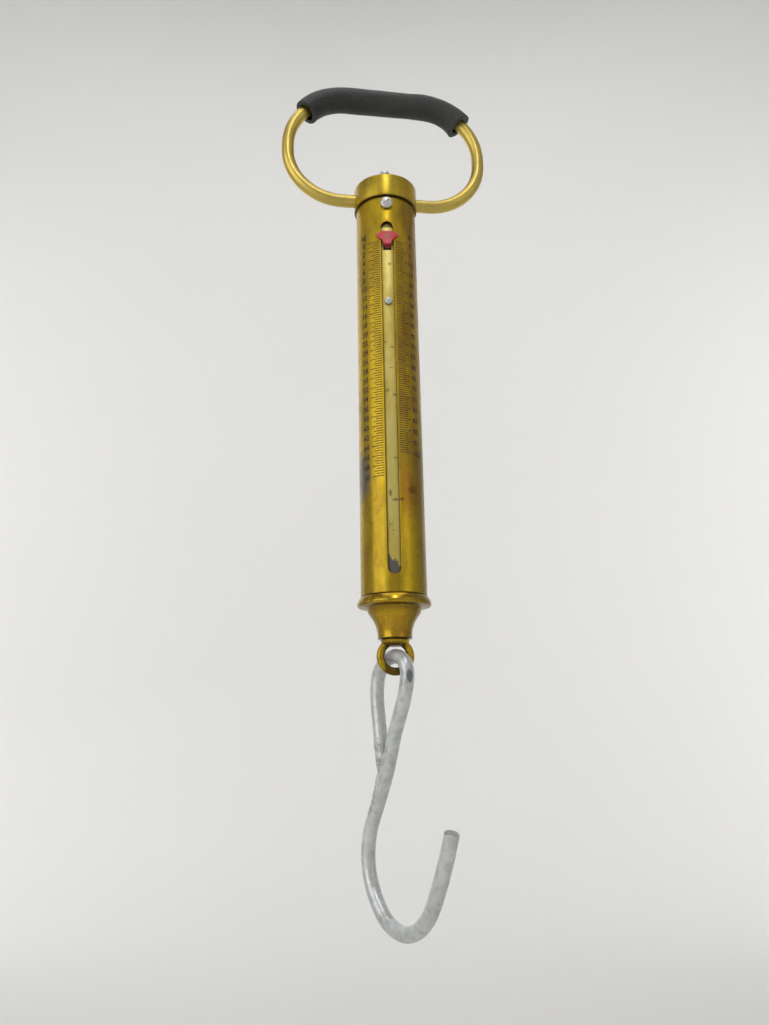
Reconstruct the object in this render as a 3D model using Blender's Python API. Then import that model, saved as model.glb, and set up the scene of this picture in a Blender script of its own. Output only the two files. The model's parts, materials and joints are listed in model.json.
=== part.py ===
"""Hanging spring scale: a brass tube balance with a folding bow handle, a sliding load tube and a wire hook.

Metres, +Z up. The origin is the hang point: the middle of the underside of the handle's grip.
The slot and its scales face -Y.
"""

import math

import bmesh
import bpy
from mathutils import Matrix, Vector

# Gap left between neighbouring pieces
GAP = 0.0003

# Handle: one bent rod with a hose grip
ROD_R = 0.0034
GRIP_R = 0.0069
GRIP_HALF_WIDTH = 0.045
HANDLE_HALF_WIDTH = 0.0538
UPPER_BEND_R = 0.033
LOWER_BEND_R = 0.030
ROD_TO_PIVOT = 0.0663
ROD_END_X = 0.0080
HANDLE_TURN = math.radians(7.0)
PIVOT_Z = GRIP_R - ROD_TO_PIVOT

# Outer tube and its cap
TUBE_R = 0.0160
TUBE_BORE_R = 0.0150
CAP_R = 0.0170
CAP_TOP = PIVOT_Z + 0.0067
CAP_SEAM = PIVOT_Z - 0.0064
CAP_SPIGOT_DEPTH = 0.0105
CAP_SCREW_Z = PIVOT_Z - 0.0111
CAP_SCREW_HEAD_R = 0.0033
CAP_SCREW_HEAD_HEIGHT = 0.0022
CAP_SCREW_TIP = 0.0092
TUBE_TOP = CAP_SEAM - GAP
TUBE_BOTTOM = -0.2787
SLOT_WIDTH = 0.0060
SLOT_TOP = -0.0815
SLOT_BOTTOM = -0.2698

# Zero adjuster in the cap
STUD_R = 0.0030
STUD_BORE_R = STUD_R + GAP + 0.0001
STUD_TOP = CAP_TOP + 0.0135
STUD_BOTTOM = -0.0940
STUD_DOME = STUD_R / 2
ZERO_TRAVEL = 0.0015
NUT_FLATS = 0.0100
WASHER_R = 0.0060
WASHER_HEIGHT = 0.0010
ZERO_NUT_HEIGHT = 0.0036
LOCK_NUT_HEIGHT = 0.0026

# Spring and its two screwed-in anchors
SPRING_MEAN_R = 0.0105
SPRING_WIRE_R = 0.00175
SPRING_PITCH = 0.00385
SPRING_TURNS = 42
SPRING_TOP = -0.0905
SPRING_BOTTOM = SPRING_TOP - SPRING_PITCH * SPRING_TURNS
SPRING_STEPS = 9
ANCHOR_FLANGE_R = 0.0120
ANCHOR_NOSE_R = 0.0078
ANCHOR_NOSE_LENGTH = 0.0060
UPPER_FLANGE_HEIGHT = 0.0032
LOWER_FLANGE_HEIGHT = 0.0080

# Inner load tube and what it carries
INNER_R = 0.0146
INNER_BORE_R = 0.0137
INNER_TOP = -0.0795
INNER_BOTTOM = TUBE_BOTTOM
BELL_TOP = TUBE_BOTTOM - GAP
PIN_R = 0.0015
ANCHOR_PIN_Z = SPRING_BOTTOM - 0.0060
BELL_PIN_Z = -0.2725
BELL_PIN_INNER = 0.0100
STOP_SCREW_Z = -0.1277
STOP_SCREW_HEAD_R = 0.0020
STOP_SCREW_HEAD_HEIGHT = 0.0014
STOP_SCREW_TIP = 0.01265
SPIGOT_R = 0.0133
SPIGOT_TOP = -0.2670
CHAMBER_R = 0.0085
CHAMBER_FLOOR = -0.2870
BELL_FLANGE_R = 0.01785
BELL_NECK_R = 0.0082
BELL_BOTTOM = -0.2986

# Pointer, with a tongue that passes the slot into the load tube's window
POINTER_TIP_Z = -0.0896
POINTER_HALF_WIDTH = 0.0063
POINTER_TOP = POINTER_TIP_Z + 0.0018
POINTER_BOTTOM = POINTER_TIP_Z - 0.0064
POINTER_THICKNESS = 0.0008
WINDOW_TOP = POINTER_TIP_Z - 0.0016
WINDOW_BOTTOM = POINTER_TIP_Z - 0.0081
WINDOW_HALF_WIDTH = 0.0022

# Swivel eye
EYE_R = 0.00715
EYE_BAR_RADIAL = 0.0018
EYE_BAR_AXIAL = 0.0016
EYE_Z = -0.3062
SHANK_R = 0.0031
SHANK_TOP = -0.2795
SHOULDER_R = 0.0069
SHOULDER_HEIGHT = 0.0021
EYE_WASHER_R = 0.0070
EYE_WASHER_HEIGHT = 0.0012
EYE_NUT_HEIGHT = 0.0050
EYE_BAR_Z = EYE_Z - EYE_R

# Wire hook, in a plane turned about Z from the slot's side
WIRE_R = 0.0034
HOOK_TURN = math.radians(54)
HOOK_TOP = -0.3066


def clear_scene():
    for item in list(bpy.data.objects):
        bpy.data.objects.remove(item, do_unlink=True)


def principled(name, colour, metallic, roughness):
    material = bpy.data.materials.new(name)
    material.use_nodes = True
    shader = material.node_tree.nodes["Principled BSDF"]
    shader.inputs["Base Color"].default_value = (*colour, 1.0)
    shader.inputs["Metallic"].default_value = metallic
    shader.inputs["Roughness"].default_value = roughness
    return material


def empty_at(name, location, parent=None):
    """An empty on a joint's axis, for the pieces that turn or slide there."""
    empty = bpy.data.objects.new(name, None)
    empty.empty_display_size = 0.01
    bpy.context.scene.collection.objects.link(empty)
    empty.matrix_world = Matrix.Translation(location)
    if parent:
        empty.parent = parent
        empty.matrix_parent_inverse = parent.matrix_world.inverted()
        empty.matrix_world = Matrix.Translation(location)
    bpy.context.view_layer.update()
    return empty


def add_piece(name, mesh, material, joint):
    """Makes the mesh, given in the part's own frame, an object held by a joint's empty."""
    piece = bpy.data.objects.new(name, mesh)
    mesh.name = name
    mesh.materials.append(material)
    mesh.shade_smooth()
    mesh.set_sharp_from_angle(angle=math.radians(35))
    bpy.context.scene.collection.objects.link(piece)
    piece.parent = joint
    piece.matrix_parent_inverse = joint.matrix_world.inverted()
    return piece


def add_helper(name, mesh):
    """A cutter or a joining shape, which isn't a piece of its own."""
    helper = bpy.data.objects.new(name, mesh)
    helper.hide_render = True
    helper.display_type = "WIRE"
    bpy.context.scene.collection.objects.link(helper)
    return helper


def combine(piece, operation, name, mesh):
    modifier = piece.modifiers.new(name, "BOOLEAN")
    modifier.operation = operation
    modifier.solver = "EXACT"
    modifier.object = add_helper(name, mesh)


def finish_mesh(shape, name):
    bmesh.ops.recalc_face_normals(shape, faces=shape.faces)
    mesh = bpy.data.meshes.new(name)
    shape.to_mesh(mesh)
    shape.free()
    return mesh


def turned_mesh(profile, hollow=False, segments=48, flats=None):
    """Revolves (radius, height) points about Z. A hollow profile closes on itself, a solid one
    starts and ends at radius 0. With flats, no point reaches past a hexagon that wide."""
    shape = bmesh.new()
    rings = []
    for radius, height in profile:
        if radius == 0:
            rings.append([shape.verts.new((0, 0, height))])
            continue
        ring = []
        for step in range(segments):
            angle = 2 * math.pi * step / segments
            reach = radius
            if flats:
                from_flat = angle % (math.pi / 3) - math.pi / 6
                reach = min(radius, flats / 2 / math.cos(from_flat))
            ring.append(shape.verts.new((reach * math.cos(angle), reach * math.sin(angle), height)))
        rings.append(ring)
    following = rings[1:] + rings[:1] if hollow else rings[1:]
    for ring, after in zip(rings, following):
        for step in range(segments):
            turn = (step + 1) % segments
            corners = [ring[step % len(ring)], ring[turn % len(ring)]]
            corners += [after[turn % len(after)], after[step % len(after)]]
            shape.faces.new(list(dict.fromkeys(corners)))
    return finish_mesh(shape, "turned")


def swept_mesh(path, radii, sides, side_axis, bore=None):
    """Sweeps a circle along a path. side_axis(i) is a direction across the path at point i.
    With a bore it makes a hose of that inner radius."""
    shape = bmesh.new()
    skins = [radii] if bore is None else [radii, [bore] * len(path)]
    rows = []
    for skin in skins:
        rings = []
        for i, point in enumerate(path):
            along = (path[min(i + 1, len(path) - 1)] - path[max(i - 1, 0)]).normalized()
            across = side_axis(i)
            across = (across - along * across.dot(along)).normalized()
            third = along.cross(across)
            ring = []
            for step in range(sides):
                angle = 2 * math.pi * step / sides
                offset = across * math.cos(angle) + third * math.sin(angle)
                ring.append(shape.verts.new(point + offset * skin[i]))
            rings.append(ring)
        rows.append(rings)
    for rings in rows:
        for ring, after in zip(rings, rings[1:]):
            for step in range(sides):
                turn = (step + 1) % sides
                shape.faces.new((ring[step], ring[turn], after[turn], after[step]))
    for end in (0, -1):
        if bore is None:
            shape.faces.new(rows[0][end])
            continue
        for step in range(sides):
            turn = (step + 1) % sides
            outer, inner = rows[0][end], rows[1][end]
            shape.faces.new((outer[step], outer[turn], inner[turn], inner[step]))
    return finish_mesh(shape, "swept")


def rod_mesh(radius, start, end, segments=24):
    """A straight round rod between two points."""
    shape = bmesh.new()
    axis = Vector(end) - Vector(start)
    middle = (Vector(end) + Vector(start)) / 2
    turn = Vector((0, 0, 1)).rotation_difference(axis).to_matrix().to_4x4()
    bmesh.ops.create_cone(
        shape,
        cap_ends=True,
        segments=segments,
        radius1=radius,
        radius2=radius,
        depth=axis.length,
        matrix=Matrix.Translation(middle) @ turn,
    )
    return finish_mesh(shape, "rod")


def block_mesh(low, high):
    shape = bmesh.new()
    size = Vector(high) - Vector(low)
    middle = (Vector(high) + Vector(low)) / 2
    matrix = Matrix.Translation(middle) @ Matrix.Diagonal((*size, 1.0))
    bmesh.ops.create_cube(shape, size=1.0, matrix=matrix)
    return finish_mesh(shape, "block")


def prism_mesh(outline, front, back):
    """An outline of (x, z) points, extruded from y = front to y = back."""
    shape = bmesh.new()
    near = [shape.verts.new((x, front, z)) for x, z in outline]
    far = [shape.verts.new((x, back, z)) for x, z in outline]
    shape.faces.new(near)
    shape.faces.new(far)
    for i in range(len(outline)):
        j = (i + 1) % len(outline)
        shape.faces.new((near[i], near[j], far[j], far[i]))
    return finish_mesh(shape, "prism")


def moved(mesh, matrix):
    mesh.transform(matrix)
    return mesh


def arc(centre_x, centre_z, radius, start, end, steps):
    """Points of an arc in the XZ plane, from start to end in degrees, measured from +X."""
    points = []
    for step in range(steps + 1):
        angle = math.radians(start + (end - start) * step / steps)
        x = centre_x + radius * math.cos(angle)
        z = centre_z + radius * math.sin(angle)
        points.append((x, z))
    return points


def smooth_path(knots, steps):
    """A smooth curve through the knots, by Catmull and Rom's formula."""
    ends = [2 * knots[0] - knots[1]] + knots + [2 * knots[-1] - knots[-2]]
    path = []
    for a, b, c, d in zip(ends, ends[1:], ends[2:], ends[3:]):
        for step in range(steps):
            t = step / steps
            path.append(
                0.5 * (2 * b + (c - a) * t + (2 * a - 5 * b + 4 * c - d) * t**2
                       + (3 * b - a - 3 * c + d) * t**3)
            )
    path.append(knots[-1])
    return path


# ---------------------------------------------------------------- handle

def handle_half(steps):
    """(x, z) points of the rod's right half, from its end in the cap up to the middle of the grip."""
    lower_x = HANDLE_HALF_WIDTH - LOWER_BEND_R
    upper_x = HANDLE_HALF_WIDTH - UPPER_BEND_R
    lower = arc(lower_x, PIVOT_Z + LOWER_BEND_R, LOWER_BEND_R, -90, 0, steps)
    upper = arc(upper_x, GRIP_R - UPPER_BEND_R, UPPER_BEND_R, 0, 90, steps)
    return [(ROD_END_X, PIVOT_Z)] + lower + upper


def handle_path(points):
    """Mirrors the right half and turns the whole bow about Z to the line of the cap's cross hole."""
    whole = points + [(-x, z) for x, z in reversed(points)]
    turn = Matrix.Rotation(HANDLE_TURN, 3, "Z")
    return [turn @ Vector((x, 0, z)) for x, z in whole]


def handle_normal(_):
    return Vector((-math.sin(HANDLE_TURN), math.cos(HANDLE_TURN), 0))


def build_handle(joint, brass, rubber):
    path = handle_path(handle_half(9))
    mesh = swept_mesh(path, [ROD_R] * len(path), 14, handle_normal)
    add_piece("handle_ring", mesh, brass, joint)
    upper_x = HANDLE_HALF_WIDTH - UPPER_BEND_R
    start = math.degrees(math.acos((GRIP_HALF_WIDTH - upper_x) / UPPER_BEND_R))
    half = arc(upper_x, GRIP_R - UPPER_BEND_R, UPPER_BEND_R, start, 90, 5) + [(upper_x / 3, GRIP_R)]
    path = handle_path(half)
    mesh = swept_mesh(path, [GRIP_R] * len(path), 16, handle_normal, bore=ROD_R + GAP)
    add_piece("grip_sleeve", mesh, rubber, joint)


# ---------------------------------------------------------------- casing

def build_top_cap(joint, brass):
    chamfer = 0.0006
    spigot_r = TUBE_BORE_R - GAP
    spigot_bottom = CAP_SEAM - CAP_SPIGOT_DEPTH
    profile = [
        (STUD_BORE_R, spigot_bottom),
        (spigot_r - chamfer, spigot_bottom),
        (spigot_r, spigot_bottom + chamfer),
        (spigot_r, CAP_SEAM),
        (CAP_R - chamfer / 2, CAP_SEAM),
        (CAP_R, CAP_SEAM + chamfer / 2),
        (CAP_R, CAP_TOP - chamfer),
        (CAP_R - chamfer, CAP_TOP),
        (STUD_BORE_R, CAP_TOP),
    ]
    cap = add_piece("top_cap", turned_mesh(profile, hollow=True), brass, joint)
    along = Vector((math.cos(HANDLE_TURN), math.sin(HANDLE_TURN), 0))
    for side, sign in (("right", 1), ("left", -1)):
        inner = sign * (ROD_END_X - GAP) * along + Vector((0, 0, PIVOT_Z))
        outer = sign * 2 * CAP_R * along + Vector((0, 0, PIVOT_Z))
        combine(cap, "DIFFERENCE", "cross_hole_" + side, rod_mesh(ROD_R + GAP, inner, outer))
    for side, sign in (("front", -1), ("back", 1)):
        inner = (0, sign * 0.0085, CAP_SCREW_Z)
        outer = (0, sign * 2 * CAP_R, CAP_SCREW_Z)
        combine(cap, "DIFFERENCE", "cap_thread_" + side, rod_mesh(PIN_R + GAP, inner, outer, 16))


def slot_outline(steps):
    half = SLOT_WIDTH / 2
    top = arc(0, SLOT_TOP - half, half, 0, 180, steps)
    bottom = arc(0, SLOT_BOTTOM + half, half, 180, 360, steps)
    return top + bottom


def build_casing_tube(joint, brass):
    bevel = 0.0003
    profile = [
        (TUBE_BORE_R, TUBE_BOTTOM),
        (TUBE_R - bevel, TUBE_BOTTOM),
        (TUBE_R, TUBE_BOTTOM + bevel),
        (TUBE_R, TUBE_TOP),
        (TUBE_BORE_R, TUBE_TOP),
    ]
    tube = add_piece("casing_tube", turned_mesh(profile, hollow=True, segments=64), brass, joint)
    slot = prism_mesh(slot_outline(10), -2 * TUBE_R, -0.5 * TUBE_R)
    combine(tube, "DIFFERENCE", "slot_cut", slot)
    hole = rod_mesh(PIN_R + GAP, (0, -2 * TUBE_R, CAP_SCREW_Z), (0, 2 * TUBE_R, CAP_SCREW_Z), 16)
    combine(tube, "DIFFERENCE", "cap_screw_holes", hole)


def round_head_screw(name, joint, material, head, seat, tip, z, side):
    """A domed screw with a cut slot, its axis along Y. seat and tip are distances from the tube's axis."""
    head_r, head_height = head
    half_cut = 0.0004
    dome = [
        (head_r * math.cos(angle), seat + head_height * (0.3 + 0.7 * math.sin(angle)))
        for angle in (math.radians(18 * step) for step in range(5))
    ]
    profile = [(0, tip), (PIN_R - GAP, tip), (PIN_R, tip + GAP), (PIN_R, seat), (head_r, seat)]
    profile += dome + [(0, seat + head_height)]
    lay = Matrix.Translation((0, 0, z)) @ Matrix.Rotation(side * math.pi / 2, 4, "X")
    screw = add_piece(name, moved(turned_mesh(profile, segments=24), lay), material, joint)
    reach = seat + head_height
    cut_floor = reach - 0.35 * head_height
    cut = block_mesh((-2 * head_r, -half_cut, cut_floor), (2 * head_r, half_cut, 2 * reach))
    spin = Matrix.Rotation(math.radians(35), 4, "Z")
    combine(screw, "DIFFERENCE", name + "_slot", moved(moved(cut, spin), lay))


def build_cap_screws(joint, steel):
    head = (CAP_SCREW_HEAD_R, CAP_SCREW_HEAD_HEIGHT)
    for name, side in (("cap_screw_front", 1), ("cap_screw_back", -1)):
        round_head_screw(name, joint, steel, head, TUBE_R + GAP, CAP_SCREW_TIP, CAP_SCREW_Z, side)


# ---------------------------------------------------------------- zero adjuster

def hex_nut_mesh(bottom, height):
    chamfer = 0.0004
    corner = NUT_FLATS / 2 / math.cos(math.pi / 6)
    profile = [
        (STUD_BORE_R, bottom),
        (NUT_FLATS / 2, bottom),
        (corner, bottom + chamfer),
        (corner, bottom + height - chamfer),
        (NUT_FLATS / 2, bottom + height),
        (STUD_BORE_R, bottom + height),
    ]
    return turned_mesh(profile, hollow=True, segments=36, flats=NUT_FLATS)


def washer_mesh(bottom, height, radius):
    top = bottom + height
    profile = [(STUD_BORE_R, bottom), (radius, bottom), (radius, top), (STUD_BORE_R, top)]
    return turned_mesh(profile, hollow=True, segments=36)


def build_zero_adjuster(casing, stud_joint, nut_joint, steel, brass):
    washer_bottom = CAP_TOP + GAP
    add_piece("stud_washer", washer_mesh(washer_bottom, WASHER_HEIGHT, WASHER_R), steel, casing)
    nut_bottom = washer_bottom + WASHER_HEIGHT + GAP
    add_piece("zero_nut", hex_nut_mesh(nut_bottom, ZERO_NUT_HEIGHT), steel, nut_joint)
    lock_bottom = nut_bottom + ZERO_NUT_HEIGHT + GAP
    add_piece("lock_nut", hex_nut_mesh(lock_bottom, LOCK_NUT_HEIGHT), steel, nut_joint)
    dome = []
    for angle in (math.radians(25 * step) for step in range(4)):
        dome.append((STUD_R * math.cos(angle), STUD_TOP - STUD_DOME * (1 - math.sin(angle))))
    profile = [(0, STUD_BOTTOM), (STUD_R, STUD_BOTTOM)] + dome + [(0, STUD_TOP)]
    add_piece("zero_stud", turned_mesh(profile, segments=24), steel, stud_joint)
    flange_bottom = SPRING_TOP + SPRING_WIRE_R + ZERO_TRAVEL + GAP
    flange_top = flange_bottom + UPPER_FLANGE_HEIGHT
    nose_bottom = SPRING_TOP - ANCHOR_NOSE_LENGTH
    profile = [
        (STUD_BORE_R, nose_bottom),
        (ANCHOR_NOSE_R, nose_bottom),
        (ANCHOR_NOSE_R, flange_bottom),
        (ANCHOR_FLANGE_R, flange_bottom),
        (ANCHOR_FLANGE_R, flange_top),
        (STUD_BORE_R, flange_top),
    ]
    add_piece("upper_spring_anchor", turned_mesh(profile, hollow=True, segments=36), brass, stud_joint)


# ---------------------------------------------------------------- load side

def build_spring(joint, steel):
    path = []
    for i in range(SPRING_TURNS * SPRING_STEPS + 1):
        angle = 2 * math.pi * i / SPRING_STEPS
        x = SPRING_MEAN_R * math.cos(angle)
        y = SPRING_MEAN_R * math.sin(angle)
        path.append(Vector((x, y, SPRING_TOP - SPRING_PITCH * i / SPRING_STEPS)))

    def outwards(i):
        return Vector((path[i].x, path[i].y, 0))

    add_piece("spring", swept_mesh(path, [SPRING_WIRE_R] * len(path), 5, outwards), steel, joint)


def build_inner_tube(joint, brass):
    profile = [
        (INNER_BORE_R, INNER_BOTTOM),
        (INNER_R, INNER_BOTTOM),
        (INNER_R, INNER_TOP),
        (INNER_BORE_R, INNER_TOP),
    ]
    tube = add_piece("inner_tube", turned_mesh(profile, hollow=True), brass, joint)
    low = (-WINDOW_HALF_WIDTH, -2 * INNER_R, WINDOW_BOTTOM)
    high = (WINDOW_HALF_WIDTH, -0.5 * INNER_R, WINDOW_TOP)
    window = block_mesh(low, high)
    combine(tube, "DIFFERENCE", "pointer_window", window)
    hole = rod_mesh(PIN_R + GAP, (0, -2 * INNER_R, STOP_SCREW_Z), (0, -0.5 * INNER_R, STOP_SCREW_Z), 16)
    combine(tube, "DIFFERENCE", "stop_screw_hole", hole)
    for name, z in (("anchor_pin_holes", ANCHOR_PIN_Z), ("bell_pin_holes", BELL_PIN_Z)):
        hole = rod_mesh(PIN_R + GAP, (-2 * INNER_R, 0, z), (2 * INNER_R, 0, z), 16)
        combine(tube, "DIFFERENCE", name, hole)


def build_pointer(joint, paint):
    """A shield bent round the tube, with a tongue that passes the slot into the load tube's window."""
    inner = TUBE_R + GAP + 0.0001
    outer = inner + POINTER_THICKNESS
    ring_bottom = POINTER_BOTTOM - POINTER_THICKNESS
    ring_top = POINTER_TOP + POINTER_THICKNESS
    ring = [(inner, ring_bottom), (outer, ring_bottom), (outer, ring_top), (inner, ring_top)]
    pointer = add_piece("pointer", turned_mesh(ring, hollow=True, segments=96), paint, joint)
    foot = [(0.0, POINTER_BOTTOM), (0.0021, POINTER_BOTTOM), (0.0028, POINTER_BOTTOM + 0.0016)]
    tip = [(POINTER_HALF_WIDTH - GAP, POINTER_TIP_Z - GAP), (POINTER_HALF_WIDTH, POINTER_TIP_Z)]
    brow = [(0.0036, POINTER_TOP - 0.0002), (0.0022, POINTER_TOP), (0.0, POINTER_TOP)]
    right = foot + tip + brow
    left = [(-x, z) for x, z in reversed(right[1:-1])]
    shield = prism_mesh(right + left, -2 * TUBE_R, -0.5 * TUBE_R)
    combine(pointer, "INTERSECT", "pointer_outline", shield)
    half_tongue = WINDOW_HALF_WIDTH - GAP - 0.0001
    low = (-half_tongue, -inner - POINTER_THICKNESS / 2, WINDOW_BOTTOM + 0.0025)
    high = (half_tongue, GAP - INNER_BORE_R + 0.0004, WINDOW_TOP - 0.0013)
    combine(pointer, "UNION", "pointer_tongue", block_mesh(low, high))


def build_stop_screw(joint, steel):
    head = (STOP_SCREW_HEAD_R, STOP_SCREW_HEAD_HEIGHT)
    round_head_screw("stop_screw", joint, steel, head, INNER_R + GAP, STOP_SCREW_TIP, STOP_SCREW_Z, 1)


def build_lower_anchor(joint, brass, steel):
    flange_r = INNER_BORE_R - GAP - 0.0001
    top = SPRING_BOTTOM - SPRING_WIRE_R - GAP
    bottom = top - LOWER_FLANGE_HEIGHT
    nose_top = SPRING_BOTTOM + ANCHOR_NOSE_LENGTH
    profile = [(0, bottom), (flange_r, bottom), (flange_r, top)]
    profile += [(ANCHOR_NOSE_R, top), (ANCHOR_NOSE_R, nose_top), (0, nose_top)]
    anchor = add_piece("lower_spring_anchor", turned_mesh(profile, segments=36), brass, joint)
    hole = rod_mesh(PIN_R + GAP, (-2 * INNER_R, 0, ANCHOR_PIN_Z), (2 * INNER_R, 0, ANCHOR_PIN_Z), 16)
    combine(anchor, "DIFFERENCE", "anchor_cross_hole", hole)
    reach = INNER_R - GAP
    pin = rod_mesh(PIN_R, (-reach, 0, ANCHOR_PIN_Z), (reach, 0, ANCHOR_PIN_Z), 16)
    add_piece("anchor_pin", pin, steel, joint)


def bell_profile():
    """The bell's half section, from the bore's mouth round the cone, flange and spigot to the chamber."""
    chamfer = 0.0004
    bore = SHANK_R + GAP
    neck = [(bore, BELL_BOTTOM), (BELL_NECK_R - chamfer, BELL_BOTTOM), (BELL_NECK_R, BELL_BOTTOM + chamfer)]
    cone = [(BELL_NECK_R, BELL_BOTTOM + 0.0014), (0.0085, BELL_BOTTOM + 0.0044)]
    cone += [(0.0096, BELL_BOTTOM + 0.0077), (0.0120, BELL_BOTTOM + 0.0114), (0.0130, BELL_TOP - 0.0056)]
    flange = [(0.0135, BELL_TOP - 0.0047), (0.0170, BELL_TOP - 0.0043), (BELL_FLANGE_R, BELL_TOP - 0.0034)]
    flange += [(0.0174, BELL_TOP - 0.0016), (TUBE_R, BELL_TOP)]
    spigot = [(SPIGOT_R, BELL_TOP), (SPIGOT_R, SPIGOT_TOP - 2 * chamfer)]
    spigot += [(SPIGOT_R - 2 * chamfer, SPIGOT_TOP)]
    chamber = [(CHAMBER_R, SPIGOT_TOP), (CHAMBER_R, CHAMBER_FLOOR), (bore, CHAMBER_FLOOR)]
    return neck + cone + flange + spigot + chamber


def build_load_bell(joint, brass, steel):
    bell = add_piece("load_bell", turned_mesh(bell_profile(), hollow=True, segments=40), brass, joint)
    for side, sign in (("left", -1), ("right", 1)):
        start = (sign * CHAMBER_R / 2, 0, BELL_PIN_Z)
        hole = rod_mesh(PIN_R + GAP, start, (sign * 2 * SPIGOT_R, 0, BELL_PIN_Z), 16)
        combine(bell, "DIFFERENCE", "bell_pin_hole_" + side, hole)
        inner = (sign * BELL_PIN_INNER, 0, BELL_PIN_Z)
        outer = (sign * (INNER_R - GAP), 0, BELL_PIN_Z)
        add_piece("bell_pin_" + side, rod_mesh(PIN_R, inner, outer, 16), steel, joint)


# ---------------------------------------------------------------- eye and hook

def eye_ring_mesh():
    """The eye: a ring of oval bar that stands in the XZ plane."""
    profile = [
        (EYE_R + EYE_BAR_RADIAL * math.cos(angle), EYE_BAR_AXIAL * math.sin(angle))
        for angle in (2 * math.pi * step / 10 for step in range(10))
    ]
    stand = Matrix.Translation((0, 0, EYE_Z)) @ Matrix.Rotation(math.pi / 2, 4, "X")
    return moved(turned_mesh(profile, hollow=True, segments=36), stand)


def build_swivel_eye(joint, brass, steel):
    shoulder_top = BELL_BOTTOM - GAP
    shoulder_bottom = shoulder_top - SHOULDER_HEIGHT
    profile = [
        (0, shoulder_bottom),
        (SHOULDER_R - 0.0019, shoulder_bottom),
        (SHOULDER_R, shoulder_bottom + 0.0007),
        (SHOULDER_R, shoulder_top),
        (SHANK_R, shoulder_top),
        (SHANK_R, SHANK_TOP),
        (0, SHANK_TOP),
    ]
    eye = add_piece("swivel_eye", eye_ring_mesh(), brass, joint)
    room = 2 * CAP_R
    above = block_mesh((-room, -room, shoulder_top - GAP), (room, room, SHANK_TOP))
    combine(eye, "DIFFERENCE", "eye_top_cut", above)
    combine(eye, "UNION", "eye_shank", turned_mesh(profile, segments=36))
    washer_bottom = CHAMBER_FLOOR + GAP
    nut_bottom = washer_bottom + EYE_WASHER_HEIGHT + GAP
    add_piece("eye_washer", washer_mesh(washer_bottom, EYE_WASHER_HEIGHT, EYE_WASHER_R), steel, joint)
    add_piece("eye_nut", hex_nut_mesh(nut_bottom, EYE_NUT_HEIGHT), steel, joint)


def hook_points(pairs):
    """Turns (u, z) points of the hook's own plane, in millimetres, into the part's frame."""
    along = Vector((math.cos(HOOK_TURN), -math.sin(HOOK_TURN), 0))
    return [along * (u / 1000) + Vector((0, 0, z / 1000)) for u, z in pairs]


def hook_normal(_):
    return Vector((math.sin(HOOK_TURN), math.cos(HOOK_TURN), 0))


def build_hook(joint, zinc):
    """One bent wire: point, bow, shank, closed loop through the eye, and a tail welded to the shank."""
    top = HOOK_TOP * 1000
    point_and_bow = [(35.4, -382.4), (30.6, -394.6), (25.0, -406.6), (18.8, -416.8), (10.8, -423.4)]
    point_and_bow += [(1.0, -425.8), (-9.4, -422.8), (-17.2, -415.2), (-22.3, -405.6), (-23.8, -395.4)]
    shank = [(-21.9, -385.4), (-17.6, -376.6), (-12.9, -368.0), (-8.6, -359.5), (-5.0, -350.5),
             (-1.6, -341.5)]
    shank += [(2.9, -332.5), (6.8, -323.5), (8.5, -315.0)]
    loop = [(6.0, top - 2.4), (0.0, top), (-8.0, top - 1.6), (-13.2, top - 7.4), (-14.9, top - 17.0)]
    loop += [(-13.9, top - 28.0), (-12.5, top - 37.4)]
    path = smooth_path(hook_points(point_and_bow + shank + loop), 2)
    radii = [WIRE_R] * len(path)
    radii[0] = WIRE_R - GAP
    hook = add_piece("hook", swept_mesh(path, radii, 12, hook_normal), zinc, joint)
    tail = smooth_path(hook_points([(-12.9, -341.0), (-12.5, -346.5), (-11.8, -353.0), (-10.9, -360.5)]), 2)
    tail_radii = [0.0029, 0.0037, 0.0036, 0.0034, 0.0031, 0.0026, 0.0019]
    combine(hook, "UNION", "welded_tail", swept_mesh(tail, tail_radii, 10, hook_normal))
    bead = smooth_path(hook_points([(-10.9, -357.5), (-12.7, -363.5), (-15.0, -369.0), (-17.1, -374.5)]), 2)
    bead_radii = [0.0014, 0.0026, 0.0027, 0.0023, 0.0026, 0.0024, 0.0012]
    combine(hook, "UNION", "weld_bead", swept_mesh(bead, bead_radii, 8, hook_normal))


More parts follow.
